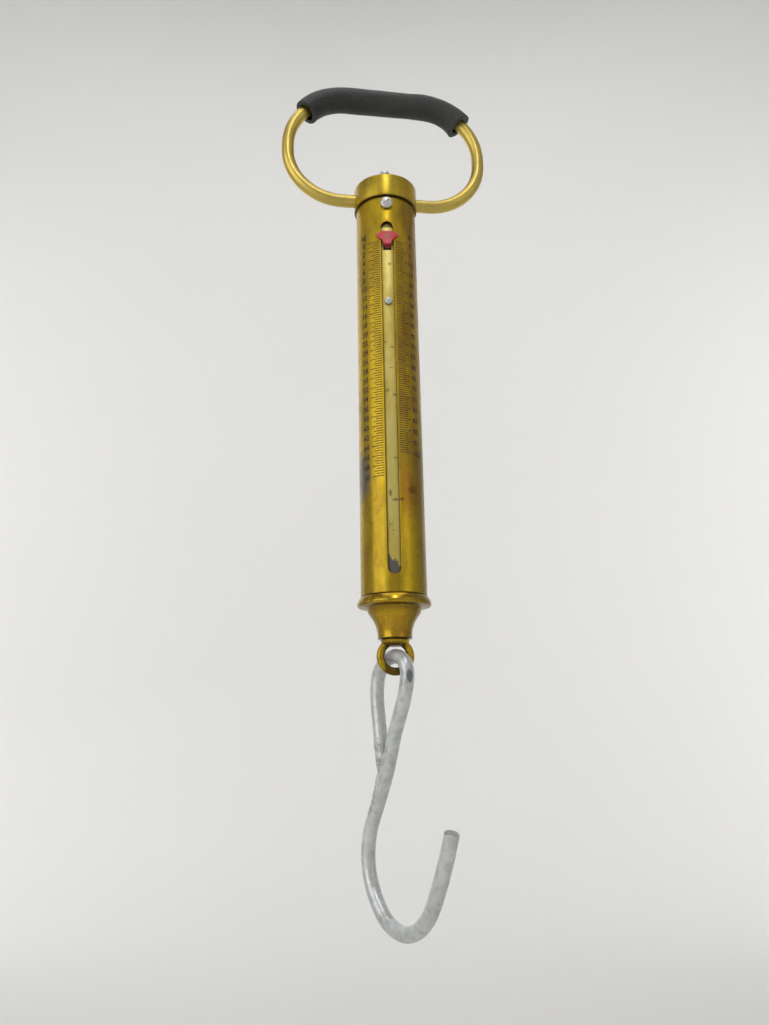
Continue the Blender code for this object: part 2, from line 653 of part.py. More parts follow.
def main():
    clear_scene()
    brass = principled("brass", (0.45, 0.33, 0.07), 1.0, 0.38)
    pale_brass = principled("pale_brass", (0.62, 0.55, 0.30), 1.0, 0.45)
    rubber = principled("rubber", (0.035, 0.036, 0.034), 0.0, 0.75)
    steel = principled("steel", (0.55, 0.56, 0.56), 1.0, 0.35)
    spring_steel = principled("spring_steel", (0.25, 0.25, 0.26), 1.0, 0.4)
    zinc = principled("zinc", (0.50, 0.52, 0.52), 0.9, 0.42)
    red = principled("red_paint", (0.55, 0.05, 0.06), 0.0, 0.45)

    handle = empty_at("handle_frame", (0, 0, 0))
    casing = empty_at("handle_pivot_axis", (0, 0, PIVOT_Z), handle)
    stud = empty_at("zero_slide_axis", (0, 0, CAP_TOP), casing)
    nut = empty_at("zero_turn_axis", (0, 0, CAP_TOP), casing)
    load = empty_at("load_slide_axis", (0, 0, TUBE_BOTTOM), casing)
    eye = empty_at("eye_swivel_axis", (0, 0, BELL_BOTTOM), load)
    hook = empty_at("hook_swing_axis", (0, 0, EYE_BAR_Z), eye)

    build_handle(handle, brass, rubber)
    build_top_cap(casing, brass)
    build_casing_tube(casing, brass)
    build_cap_screws(casing, steel)
    build_zero_adjuster(casing, stud, nut, steel, brass)
    build_spring(casing, spring_steel)
    build_inner_tube(load, pale_brass)
    build_pointer(load, red)
    build_stop_screw(load, steel)
    build_lower_anchor(load, brass, steel)
    build_load_bell(load, brass, steel)
    build_swivel_eye(eye, brass, steel)
    build_hook(hook, zinc)


main()
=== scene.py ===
"""Looks for the hanging spring scale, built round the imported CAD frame. Metres, +Z up, the slot faces -Y."""

import json
import random
from math import acos, cos, degrees, exp, hypot, pi, radians, sin, sqrt

import bmesh
import bpy
from mathutils import Matrix, Vector, noise


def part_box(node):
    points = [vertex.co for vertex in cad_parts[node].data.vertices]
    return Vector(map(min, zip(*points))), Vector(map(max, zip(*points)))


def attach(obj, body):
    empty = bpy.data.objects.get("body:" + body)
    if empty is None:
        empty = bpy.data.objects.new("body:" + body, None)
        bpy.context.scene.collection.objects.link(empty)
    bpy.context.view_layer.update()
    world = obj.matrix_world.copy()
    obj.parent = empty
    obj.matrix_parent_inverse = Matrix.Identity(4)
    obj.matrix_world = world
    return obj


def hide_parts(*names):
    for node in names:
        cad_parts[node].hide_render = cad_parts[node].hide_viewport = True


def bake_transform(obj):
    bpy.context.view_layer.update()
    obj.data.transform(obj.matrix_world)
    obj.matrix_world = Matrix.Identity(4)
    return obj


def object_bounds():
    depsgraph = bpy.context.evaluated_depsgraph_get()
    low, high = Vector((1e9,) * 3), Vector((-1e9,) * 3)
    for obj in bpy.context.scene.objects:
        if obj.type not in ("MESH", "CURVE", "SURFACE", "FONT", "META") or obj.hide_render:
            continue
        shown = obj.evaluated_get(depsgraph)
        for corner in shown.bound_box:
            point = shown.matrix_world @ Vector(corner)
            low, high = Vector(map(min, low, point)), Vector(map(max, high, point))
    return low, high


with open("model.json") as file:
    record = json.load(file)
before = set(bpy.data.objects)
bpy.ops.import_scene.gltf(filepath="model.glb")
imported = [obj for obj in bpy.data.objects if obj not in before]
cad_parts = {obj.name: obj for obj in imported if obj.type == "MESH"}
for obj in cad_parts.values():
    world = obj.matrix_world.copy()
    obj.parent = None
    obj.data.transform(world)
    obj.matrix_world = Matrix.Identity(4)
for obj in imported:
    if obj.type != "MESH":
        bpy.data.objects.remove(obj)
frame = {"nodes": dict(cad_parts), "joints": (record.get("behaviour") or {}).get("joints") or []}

CAD_LOW, CAD_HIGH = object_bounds()

UP = Vector((0, 0, 1))
TAU = 2 * pi
GAP = 0.0003


# ---- sizes in metres, read from the frame where it holds them

def joint_named(name):
    return next(joint for joint in frame["joints"] if joint["name"] == name)


def high(node):
    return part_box(node)[1]


def low(node):
    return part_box(node)[0]


def middle_z(node):
    return (low(node).z + high(node).z) / 2


PIVOT_Z = joint_named("handle_pivot")["pos_m"][2]
PIVOT_AXIS = Vector(joint_named("handle_pivot")["axis"])
HANDLE_NORMAL = UP.cross(PIVOT_AXIS)
HOOK_NORMAL = Vector(joint_named("hook_swing")["axis"])
HOOK_ALONG = HOOK_NORMAL.cross(UP)
EYE_Z = -0.3066
SHOULDER_FOOT = -0.3018

TUBE_R = high("casing_tube").y
TUBE_TOP = high("casing_tube").z
TUBE_BOTTOM = low("casing_tube").z
TUBE_WALL = 0.0010
TUBE_BORE_R = TUBE_R - TUBE_WALL
INNER_R = high("inner_tube").y
INNER_TOP = high("inner_tube").z
CAP_R = high("top_cap").y
CAP_TOP = high("top_cap").z
CAP_BOTTOM = low("top_cap").z
CAP_SEAM = TUBE_TOP + GAP
BELL_TOP = TUBE_BOTTOM - GAP
BELL_BOTTOM = low("load_bell").z
BELL_SPIGOT_TOP = high("load_bell").z
STUD_R = high("zero_stud").y
STUD_TOP = high("zero_stud").z
ROD_R = 0.0034
WIRE_R = 0.0034
PIN_HOLE_R = 0.0018
WELD_HALF_WIDTH = 0.0042

SLOT_HALF = 0.0030
SLOT_TOP = -0.0815
SLOT_BOTTOM = -0.2698
ZERO_MARK_Z = -0.0931
METRES_PER_KG = 0.002572
KG_PER_LB = 0.45359
LAST_KG = 50
LAST_LB = 100


# ---- looks

class Look:
    """A Principled material and short calls for the nodes that vary it. Positions are in metres."""

    def __init__(self, name, roughness, metallic=0.0):
        self.material = bpy.data.materials.new(name)
        self.material.use_nodes = True
        self.tree = self.material.node_tree
        self.shader = self.tree.nodes["Principled BSDF"]
        self.shader.inputs["Metallic"].default_value = metallic
        self.shader.inputs["Roughness"].default_value = roughness
        self.place = self.tree.nodes.new("ShaderNodeTexCoord").outputs["Object"]

    def node(self, kind, settings=(), **inputs):
        made = self.tree.nodes.new(kind)
        for name, value in dict(settings).items():
            setattr(made, name, value)
        for name, value in inputs.items():
            self.feed(made.inputs[name.replace("_", " ")], value)
        return made

    def feed(self, socket, value):
        if isinstance(value, bpy.types.NodeSocket):
            self.tree.links.new(value, socket)
        elif hasattr(value, "__len__") and len(value) == 3 and socket.type == "RGBA":
            socket.default_value = (*value, 1.0)
        else:
            socket.default_value = value

    def math(self, operation, *values, clamp=False):
        made = self.node("ShaderNodeMath", {"operation": operation, "use_clamp": clamp})
        for socket, value in zip(made.inputs, values):
            self.feed(socket, value)
        return made.outputs[0]

    def moved(self, shift, stretch):
        """The position seen from shift, divided along each axis by stretch."""
        away = self.node("ShaderNodeVectorMath", {"operation": "SUBTRACT"})
        self.feed(away.inputs[0], self.place)
        away.inputs[1].default_value = shift
        scale = [1 / s for s in stretch]
        return self.node("ShaderNodeMapping", Vector=away.outputs[0], Scale=scale).outputs[0]

    def noise(self, size, detail, rough, stretch=(1, 1, 1), shift=(0, 0, 0)):
        where = self.moved(shift, [size * s for s in stretch])
        made = self.node("ShaderNodeTexNoise", Vector=where, Scale=1.0, Detail=detail, Roughness=rough)
        return made.outputs["Fac"]

    def cells(self, size, shift):
        where = self.moved(shift, [size] * 3)
        return self.node("ShaderNodeTexVoronoi", Vector=where, Scale=1.0).outputs["Distance"]

    def between(self, value, start, end, low_value=0.0, high_value=1.0):
        """low_value up to start, high_value from end, smooth between them; start may be above end."""
        if start > end:
            start, end, low_value, high_value = end, start, high_value, low_value
        made = self.node("ShaderNodeMapRange", {"interpolation_type": "SMOOTHSTEP"}, Value=value)
        limits = {"From Min": start, "From Max": end, "To Min": low_value, "To Max": high_value}
        for name, number in limits.items():
            made.inputs[name].default_value = number
        return made.outputs["Result"]

    def axis(self, name):
        return self.node("ShaderNodeSeparateXYZ", Vector=self.place).outputs[name]

    def length(self, vector):
        made = self.node("ShaderNodeVectorMath", {"operation": "LENGTH"})
        self.feed(made.inputs[0], vector)
        return made.outputs["Value"]

    def ramp(self, name, *limits):
        return self.between(self.axis(name), *limits)

    def times(self, a, b, clamp=False):
        return self.math("MULTIPLY", a, b, clamp=clamp)

    def reach_from(self, centre, along):
        """The distance from a line through centre, along the axis given by its index."""
        stretch = [1.0, 1.0, 1.0]
        stretch[along] = 1e6
        return self.length(self.moved(centre, stretch))

    def mix(self, share, a, b):
        made = self.node("ShaderNodeMix", {"data_type": "RGBA"})
        self.feed(made.inputs[0], share)
        self.feed(made.inputs[6], a)
        self.feed(made.inputs[7], b)
        return made.outputs[2]

    def blot(self, centre, size, edge=0.35, grain=0.002):
        """A ragged patch round a point: 1 in its middle, 0 past size along each axis."""
        ragged = self.math("MULTIPLY_ADD", self.noise(grain, 4.0, 0.65), 0.9, -0.45)
        far = self.math("ADD", self.length(self.moved(centre, size)), ragged)
        return self.between(far, 1.0, 1.0 - edge)

    def most(self, *values):
        found = values[0]
        for value in values[1:]:
            found = self.math("MAXIMUM", found, value)
        return found

    def colour(self, value):
        self.tone = value
        self.feed(self.shader.inputs["Base Color"], value)

    def tint(self, share, tone):
        """Mixes a share of the tone into the colour so far."""
        self.colour(self.mix(share, self.tone, tone))

    def roughness(self, value):
        self.feed(self.shader.inputs["Roughness"], value)

    def metallic(self, value):
        self.feed(self.shader.inputs["Metallic"], value)

    def bump(self, height, depth):
        made = self.node("ShaderNodeBump", Height=height, Distance=depth, Strength=1.0)
        before = self.shader.inputs["Normal"].links
        if before:
            self.feed(made.inputs["Normal"], before[0].from_socket)
        self.feed(self.shader.inputs["Normal"], made.outputs["Normal"])


GOLD = (0.55, 0.370, 0.022)
BRIGHT_GOLD = (0.68, 0.50, 0.060)
OLIVE = (0.36, 0.240, 0.024)
TARNISH = (0.31, 0.155, 0.026)
# Near-black for dirt in spots and pits, and also for painted shade at joints and under the slot's top.
GRIME_AND_SHADE = (0.055, 0.038, 0.018)
PALE = (0.68, 0.555, 0.17)
PALE_SHADE = (0.54, 0.425, 0.10)
DARK_PATCH = (0.075, 0.060, 0.050)


def brass_base(name, tarnish, lines, line_depth=0.000004, roughness=0.30, line_tone=0.35):
    """Old brass: gold with olive and brown clouds, drawn or turned lines, and dark pin spots."""
    look = Look(name, metallic=1.0, roughness=roughness)
    clouds = look.noise(0.016, 4.0, 0.6, (1, 1, 2.2))
    fine_clouds = look.noise(0.0035, 5.0, 0.65, (1, 1, 1.6), (0.3, 0.1, 0.2))
    lines_value = look.noise(0.0009, 3.0, 0.6, lines)
    look.colour(look.mix(look.between(clouds, 0.40, 0.66), GOLD, OLIVE))
    look.tint(look.between(lines_value, 0.50, 0.78, 0.0, line_tone), BRIGHT_GOLD)
    brown = look.times(look.between(fine_clouds, 0.50, 0.72), tarnish)
    look.tint(brown, TARNISH)
    spots = look.between(look.cells(0.0032, shift=(0.01, 0.02, 0.03)), 0.16, 0.08, 0.0, 0.75)
    few = look.between(look.noise(0.010, 2.0, 0.5, shift=(0.5, 0, 0)), 0.52, 0.60)
    look.tint(look.times(spots, few), GRIME_AND_SHADE)
    dull = look.math("ADD", look.between(fine_clouds, 0.35, 0.75, roughness - 0.03, roughness + 0.09),
                     look.times(lines_value, 0.08))
    look.roughness(dull)
    look.bump(lines_value, line_depth)
    look.bump(look.noise(0.0012, 4.0, 0.6), 0.000003)
    return look


def rod_brass():
    look = brass_base("handle_brass", 0.30, (4, 4, 4), 0.000002, 0.33, line_tone=0.15)
    low_side = look.between(look.noise(0.009, 3.0, 0.6, (1.5, 1, 1)), 0.55, 0.75, 0.0, 0.5)
    look.tint(low_side, OLIVE)
    look.tint(0.5, (0.70, 0.57, 0.20))
    return look.material


def cap_brass():
    look = brass_base("cap_brass", 0.45, (16, 16, 0.55))
    look.tint(0.2, (0.50, 0.40, 0.08))
    # Painted shade: a dark band round the cap's foot, where it overhangs the tube.
    cap_foot_shade = look.ramp("Z", CAP_SEAM + 0.0011, CAP_SEAM + 0.0001, 0.0, 0.75)
    look.tint(cap_foot_shade, GRIME_AND_SHADE)
    return look.material


def casing_brass():
    """The tube: golden to the left of the slot, browner to the right, with a dark stain low on the left.
    Painted shade darkens its sides, its cut faces and a patch left of the slot.
    """
    look = brass_base("casing_brass", 0.45, (1, 1, 22))
    side = look.ramp("X", 0.001, 0.009)
    scale_zone = look.ramp("Z", -0.252, -0.225)
    patchy = look.between(look.noise(0.008, 4.0, 0.65, (1, 1, 2.5), (0.2, 0.4, 0.1)), 0.36, 0.62)
    brown = look.times(side, look.times(scale_zone, patchy))
    look.tint(look.times(brown, 0.78), TARNISH)
    drips = look.noise(0.0030, 3.0, 0.6, (1, 1, 14), (0.7, 0.2, 0.3))
    look.tint(look.between(drips, 0.58, 0.74, 0.0, 0.45), TARNISH)
    rust = look.most(
        look.blot((0.0098, -0.0125, -0.2286), (0.0030, 0.010, 0.0030), 0.6),
        look.blot((0.0042, -0.0150, -0.2338), (0.0018, 0.010, 0.0012), 0.6),
    )
    orange = look.blot((0.0066, -0.0145, -0.2290), (0.0040, 0.010, 0.0200), 0.9)
    look.tint(look.times(orange, 0.8), (0.40, 0.19, 0.030))
    look.tint(look.times(rust, 0.75), (0.17, 0.070, 0.022))
    stain = look.blot((-0.0150, -0.0062, -0.2205), (0.0078, 0.0110, 0.0158), 0.55, 0.0030)
    stain_tone = look.mix(look.noise(0.0016, 4.0, 0.7), (0.05, 0.05, 0.055), (0.24, 0.24, 0.22))
    look.tint(look.times(stain, 0.88), stain_tone)
    # Painted shade: dark bands at the tube's ends, under the cap and above the bell.
    tube_end_shade = look.most(
        look.ramp("Z", TUBE_BOTTOM + 0.0009, TUBE_BOTTOM, 0.0, 0.7),
        look.ramp("Z", TUBE_TOP - 0.0016, TUBE_TOP - 0.0002, 0.0, 0.7),
    )
    look.tint(tube_end_shade, GRIME_AND_SHADE)
    # Painted shade: the tube's sides darker, the right side most, and more so low down.
    lower_half = look.ramp("Z", -0.15, -0.23, 0.40, 1.0)
    for start_x, end_x, share in ((0.0062, 0.0158, 0.85), (-0.0106, -0.0160, 0.40)):
        painted_side_shade = look.ramp("X", start_x, end_x, 0.0, share)
        look.tint(look.times(painted_side_shade, lower_half), (0.150, 0.110, 0.022))
    # Painted shade: a patch left of the slot dulled to olive, over the key light's highlight.
    wear_and_shade = look.blot((-0.0085, -0.0135, -0.1650), (0.0070, 0.0200, 0.0600), 0.9)
    look.tint(look.times(wear_and_shade, 0.5), OLIVE)
    # Painted shade on the faces cut into the tube: the slot's walls and the bore.
    cut_face_shade = look.between(look.reach_from((0, 0, 0), 2), TUBE_R - 0.00012, TUBE_R - 0.00032, 0.0, 0.92)
    look.tint(cut_face_shade, (0.030, 0.020, 0.008))
    polished = look.ramp("Z", -0.205, -0.240, 1.0, 0.85)
    dull = look.shader.inputs["Roughness"].links[0].from_socket
    look.roughness(look.times(dull, polished))
    return look.material


def bell_brass():
    """Turned brass with tool rings, reddish-brown clouds and pits. Painted shade darkens its sides, its flange
    and a band under the flange.
    """
    look = brass_base("bell_brass", 0.5, (18, 18, 0.45), line_depth=0.000010, roughness=0.20)
    red = look.between(look.noise(0.006, 3.0, 0.6, (1, 1, 1.3), (0.9, 0.3, 0.5)), 0.50, 0.66, 0.0, 0.55)
    look.tint(0.45, (0.66, 0.40, 0.030))
    look.tint(red, (0.42, 0.20, 0.030))
    pits = look.between(look.cells(0.0016, shift=(0.02, 0.05, 0.01)), 0.20, 0.10)
    here = look.blot((-0.0035, -0.0110, -0.2870), (0.0045, 0.012, 0.0045), 0.9)
    pits = look.times(pits, here)
    look.tint(pits, GRIME_AND_SHADE)
    look.bump(pits, -0.00012)
    # Painted shade: a dark band on the cone just under the flange.
    under_flange_shade = look.ramp("Z", BELL_TOP - 0.0040, BELL_TOP - 0.0045, 0.0, 0.6)
    above = look.ramp("Z", BELL_TOP - 0.0090, BELL_TOP - 0.0055)
    look.tint(look.times(under_flange_shade, above), (0.13, 0.085, 0.018))
    # Painted shade: the bell's sides darker, the right side most.
    sideways = look.math("DIVIDE", look.axis("X"), look.reach_from((0, 0, 0), 2))
    for start, end, share in ((0.10, 0.98, 0.85), (-0.65, -0.98, 0.65)):
        painted_side_shade = look.between(sideways, start, end, 0.0, share)
        look.tint(painted_side_shade, (0.150, 0.100, 0.020))
    # Painted shade: the flange darkened, dimming its highlight.
    flange = look.ramp("Z", BELL_TOP - 0.0044, BELL_TOP - 0.0036, 0.0, 0.45)
    look.tint(flange, (0.200, 0.135, 0.022))
    foot = look.ramp("Z", BELL_BOTTOM + 0.0007, BELL_BOTTOM, 0.0, 0.8)
    look.tint(foot, GRIME_AND_SHADE)
    return look.material


def anchor_brass():
    return brass_base("anchor_brass", 0.3, (16, 16, 0.5)).material


def eye_brass():
    look = brass_base("eye_brass", 0.6, (2, 2, 2), line_depth=0.00002, roughness=0.33)
    brown = look.between(look.noise(0.004, 3.0, 0.6), 0.45, 0.70, 0.0, 0.6)
    look.tint(brown, (0.22, 0.13, 0.020))
    # Painted shade: dark inside the ring's hole and in the crease at the shoulder's foot.
    hole_shade = look.between(look.reach_from((0, 0, EYE_Z), 1), 0.0064, 0.0053, 0.0, 0.85)
    shoulder_crease_shade = look.ramp("Z", SHOULDER_FOOT + 0.0018, SHOULDER_FOOT, 0.0, 0.8)
    shoulder_crease_shade = look.times(shoulder_crease_shade, look.between(look.reach_from((0, 0, 0), 2), 0.0062, 0.0045))
    look.tint(look.most(hole_shade, shoulder_crease_shade), (0.060, 0.040, 0.012))
    look.bump(look.noise(0.0022, 3.0, 0.6), 0.00006)
    return look.material


def inner_brass():
    """Pale, dull brass with smudges, specks and a dark patch at its foot."""
    look = Look("inner_brass", metallic=0.85, roughness=0.42)
    clouds = look.noise(0.010, 4.0, 0.6, (1, 1, 2.0), (0.1, 0.5, 0.2))
    look.colour(look.mix(look.between(clouds, 0.42, 0.68), PALE, PALE_SHADE))
    speckle = look.between(look.noise(0.0011, 4.0, 0.7), 0.60, 0.75, 0.0, 0.35)
    look.tint(speckle, OLIVE)
    smudges = look.most(*[
        look.blot((x, -INNER_R, z), (wide, 0.004, tall), edge, 0.0010)
        for x, z, wide, tall, edge in (
            (0.0010, -0.1060, 0.0014, 0.0012, 0.8),
            (-0.0020, -0.1506, 0.0011, 0.0009, 0.8),
            (0.0013, -0.1535, 0.0022, 0.0007, 0.8),
            (0.0006, -0.1648, 0.0020, 0.0005, 0.8),
            (0.0020, -0.1793, 0.0016, 0.0012, 0.7),
            (-0.0016, -0.1770, 0.0014, 0.0016, 0.9),
            (0.0018, -0.2125, 0.0018, 0.0006, 0.7),
            (-0.0012, -0.2304, 0.0011, 0.0024, 0.6),
            (0.0014, -0.2337, 0.0021, 0.0010, 0.6),
        )
    ])
    look.tint(look.times(smudges, 0.75), (0.20, 0.14, 0.05))
    pins = look.between(look.cells(0.0026, shift=(0.3, 0.3, 0.1)), 0.17, 0.10)
    low_end = look.ramp("Z", -0.236, -0.250)
    look.tint(look.times(pins, low_end), GRIME_AND_SHADE)
    # A dark band round the top: painted shadow under the slot's top end, and a ring of grime.
    look.tint(look.ramp("Z", -0.0850, -0.0836, 0.0, 0.9), GRIME_AND_SHADE)
    slope = look.math("MULTIPLY_ADD", look.axis("X"), 0.9, look.axis("Z"))
    rough_edge = look.math("MULTIPLY_ADD", look.noise(0.0018, 3.0, 0.6), 0.006, -0.0030)
    edge = look.math("ADD", slope, rough_edge)
    patch = look.between(edge, -0.2628, -0.2634)
    patch_tone = look.mix(look.noise(0.0008, 4.0, 0.7), DARK_PATCH, (0.16, 0.135, 0.115))
    look.tint(patch, patch_tone)
    look.metallic(look.between(patch, 0.0, 1.0, 0.85, 0.15))
    look.roughness(look.between(clouds, 0.3, 0.7, 0.36, 0.50))
    look.bump(look.noise(0.0010, 4.0, 0.65, (1, 1, 5)), 0.000015)
    return look.material


def hose_rubber():
    """Charcoal hose rubber with a faint bloom, fine pores and mould lines."""
    look = Look("hose_rubber", roughness=0.62)
    bloom = look.noise(0.011, 4.0, 0.6, (2, 1, 1))
    grey = look.between(bloom, 0.40, 0.70)
    look.colour(look.mix(grey, (0.014, 0.014, 0.0135), (0.034, 0.035, 0.033)))
    dust = look.between(look.noise(0.0010, 4.0, 0.75, shift=(0.2, 0.2, 0.2)), 0.53, 0.68, 0.0, 0.6)
    look.tint(dust, (0.075, 0.077, 0.071))
    rubbed = look.noise(0.0035, 3.0, 0.6, (1.6, 1, 1), (0.6, 0.1, 0.4))
    scuffs = look.between(rubbed, 0.66, 0.72, 0.0, 0.30)
    look.tint(scuffs, (0.11, 0.115, 0.10))
    look.roughness(look.between(bloom, 0.35, 0.75, 0.52, 0.74))
    look.bump(look.noise(0.00045, 3.0, 0.7), 0.00003)
    look.bump(look.noise(0.0016, 3.0, 0.6, (6, 1, 1)), 0.00006)
    return look.material


def zinc():
    """Hot-dipped zinc: pale grey spangle, dull streaks, and small dark scuffs."""
    look = Look("galvanised_wire", metallic=0.5, roughness=0.36)
    spangle = look.node("ShaderNodeTexVoronoi", Vector=look.moved((0, 0, 0), (0.0024,) * 3), Scale=1.0)
    tone = look.node("ShaderNodeSeparateColor", Color=spangle.outputs["Color"]).outputs["Red"]
    tone = look.between(tone, 0.0, 1.0, 0.0, 0.4)
    look.colour(look.mix(tone, (0.60, 0.62, 0.615), (0.40, 0.42, 0.42)))
    cloud = look.between(look.noise(0.009, 4.0, 0.65), 0.42, 0.66, 0.0, 0.65)
    look.tint(cloud, (0.72, 0.74, 0.73))
    dull = look.noise(0.0030, 5.0, 0.75, (1, 1, 1.8), (0.4, 0.2, 0.9))
    look.tint(look.between(dull, 0.50, 0.68, 0.0, 0.50), (0.25, 0.25, 0.245))
    tip = look.blot(hook_points([(35.6, -381.8)])[0], (0.0062, 0.0062, 0.0022), 0.35)
    look.tint(look.times(tip, 0.75), (0.24, 0.24, 0.23))
    scuff_at = HOOK_ALONG * 0.0104 + Vector((0, -0.0022, -0.3165))
    scuff = look.blot(scuff_at, (0.0021, 0.0030, 0.0042), 0.45, 0.0012)
    scuff_tone = look.mix(look.noise(0.0005, 4.0, 0.7), (0.035, 0.04, 0.045), (0.30, 0.32, 0.33))
    look.tint(scuff, scuff_tone)
    weld = look.most(*[look.blot(at, (WELD_HALF_WIDTH, WELD_HALF_WIDTH, size), 0.55, 0.0016)
                       for at, size in WELD_ZONES])
    weld_tone = look.mix(look.between(look.noise(0.0008, 4.0, 0.75), 0.42, 0.60),
                         (0.17, 0.168, 0.160), (0.62, 0.62, 0.60))
    look.tint(look.times(weld, 0.9), weld_tone)
    rust = look.most(*[look.blot(at, (0.0011, 0.0040, 0.0011), 0.7, 0.0010) for at in RUST_SPOTS])
    look.tint(rust, (0.16, 0.12, 0.03))
    look.metallic(look.between(weld, 0.0, 1.0, 0.5, 0.40))
    look.roughness(look.between(cloud, 0.0, 0.65, 0.30, 0.44))
    look.bump(look.noise(0.0020, 4.0, 0.6), 0.00005)
    look.bump(look.times(look.noise(0.0010, 4.0, 0.7), weld), 0.00035)
    pebbles = look.between(look.cells(0.0010, shift=(0.04, 0.01, 0.02)), 0.15, 0.75, 1.0, 0.0)
    look.bump(look.times(pebbles, weld), 0.00040)
    return look.material


def plated_steel():
    tone, roughness = (0.60, 0.61, 0.60), 0.28
    look = Look("plated_steel", metallic=1.0, roughness=roughness)
    grime = look.between(look.noise(0.0020, 4.0, 0.65), 0.50, 0.72, 0.0, 0.55)
    look.colour(look.mix(grime, tone, tuple(0.35 * c for c in tone)))
    look.roughness(look.between(look.noise(0.0011, 4.0, 0.6), 0.35, 0.70, roughness, roughness + 0.2))
    look.bump(look.noise(0.0007, 3.0, 0.6), 0.000012)
    return look.material


def spring_steel():
    look = Look("oiled_spring_steel", metallic=1.0, roughness=0.32)
    film = look.between(look.noise(0.0040, 4.0, 0.6), 0.40, 0.68)
    look.colour(look.mix(film, (0.30, 0.30, 0.31), (0.15, 0.135, 0.12)))
    look.roughness(look.between(film, 0.0, 1.0, 0.26, 0.42))
    return look.material


def red_paint():
    """Red enamel, rubbed thin in the middle and chipped along its edges."""
    look = Look("red_enamel", roughness=0.42)
    shade = look.between(look.noise(0.0018, 3.0, 0.6), 0.35, 0.70)
    look.colour(look.mix(shade, (0.66, 0.070, 0.095), (0.52, 0.045, 0.065)))
    middle = look.blot((0.0, -TUBE_R, -0.0912), (0.0030, 0.01, 0.0030), 0.9, 0.0012)
    look.tint(look.times(middle, 0.75), (0.34, 0.12, 0.08))
    chips = look.between(look.noise(0.0010, 4.0, 0.7, shift=(0.1, 0.6, 0.2)), 0.67, 0.70, 0.0, 0.8)
    look.tint(chips, (0.20, 0.11, 0.05))
    look.roughness(look.between(shade, 0.0, 1.0, 0.34, 0.52))
    look.bump(chips, -0.00004)
    return look.material


def mark_ink():
    """Dark wax left in the stamped scale, thinner here and there."""
    look = Look("scale_ink", metallic=0.3, roughness=0.55)
    wear_and_shade = look.between(look.noise(0.0030, 4.0, 0.65), 0.50, 0.70, 0.0, 0.55)
    more_on_right = look.ramp("X", -0.001, 0.004, 0.6, 1.2)
    wear_and_shade = look.times(wear_and_shade, more_on_right, clamp=True)
    look.colour(look.mix(wear_and_shade, (0.045, 0.028, 0.012), (0.21, 0.13, 0.030)))
    return look.material


# ---- mesh tools

def placed(name, data):
    made = bpy.data.objects.new(name, data)
    bpy.context.scene.collection.objects.link(made)
    return made


def smooth(mesh, sharp):
    mesh.shade_smooth()
    mesh.set_sharp_from_angle(angle=radians(sharp))


def to_mesh(shape, sharp=35):
    bmesh.ops.recalc_face_normals(shape, faces=shape.faces)
    mesh = bpy.data.meshes.new("mesh")
    shape.to_mesh(mesh)
    shape.free()
    smooth(mesh, sharp)
    return mesh


def show(name, mesh, material, body, stands_for=()):
    """Makes the mesh a piece that rides on a body and stands for CAD nodes."""
    piece = placed(name, mesh)
    mesh.name = name
    mesh.materials.clear()
    mesh.materials.append(material)
    if body:
        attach(piece, body)
    if stands_for:
        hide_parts(*stands_for)
    return piece


def bridge(shape, rings, closed=False):
    """Faces from each ring of vertices to the next; closed joins the last to the first.

    A ring of one vertex is a pole.
    """
    for ring, after in zip(rings, rings[1:] + (rings[:1] if closed else [])):
        count = max(len(ring), len(after))
        for step in range(count):
            turn = (step + 1) % count
            corners = [ring[step % len(ring)], ring[turn % len(ring)]]
            corners += [after[turn % len(after)], after[step % len(after)]]
            shape.faces.new(list(dict.fromkeys(corners)))


def turned(profile, segments, hollow=True, reach=None):
    """Revolves (radius, z) points about Z. A hollow shape's outline is a closed one.

    reach(angle, radius, z) may change a point's radius.
    """
    shape = bmesh.new()
    rings = []
    for radius, z in profile:
        if radius == 0:
            rings.append([shape.verts.new((0, 0, z))])
            continue
        ring = []
        for step in range(segments):
            angle = TAU * step / segments
            r = reach(angle, radius, z) if reach else radius
            ring.append(shape.verts.new((r * cos(angle), r * sin(angle), z)))
        rings.append(ring)
    bridge(shape, rings, hollow)
    return shape


def swept(path, radii, sides, across, bore=None):
    """A round bar along a path; across is a direction that is never along it. A bore makes it a hose."""
    shape = bmesh.new()
    skins = [radii] if bore is None else [radii, bore]
    rows = []
    for skin in skins:
        rings = []
        for i, point in enumerate(path):
            along = (path[min(i + 1, len(path) - 1)] - path[max(i - 1, 0)]).normalized()
            side = (across - along * across.dot(along)).normalized()
            third = along.cross(side)
            ring = []
            for step in range(sides):
                angle = TAU * step / sides
                offset = side * cos(angle) + third * sin(angle)
                ring.append(shape.verts.new(point + offset * skin[i]))
            rings.append(ring)
        rows.append(rings)
    for rings in rows:
        bridge(shape, rings)
    for end in (0, -1):
        if bore is None:
            shape.faces.new(rows[0][end])
        else:
            bridge(shape, [rows[0][end], rows[1][end]])
    return shape


def rounded_profile(points):
    """The (radius, z) outline. A third value rounds its corner off by that share of a base radius."""
    base, steps = 0.0004, 4
    rounded = []
    count = len(points)
    for i, point in enumerate(points):
        here = Vector(point[:2])
        if len(point) < 3 or not point[2]:
            rounded.append(tuple(here))
            continue
        before = Vector(points[i - 1][:2])
        after = Vector(points[(i + 1) % count][:2])
        trim = min(base * point[2], (before - here).length * 0.45, (after - here).length * 0.45)
        start = here + (before - here).normalized() * trim
        end = here + (after - here).normalized() * trim
        for step in range(steps + 1):
            t = step / steps
            rounded.append(tuple(start * (1 - t) ** 2 + here * 2 * t * (1 - t) + end * t**2))
    return rounded


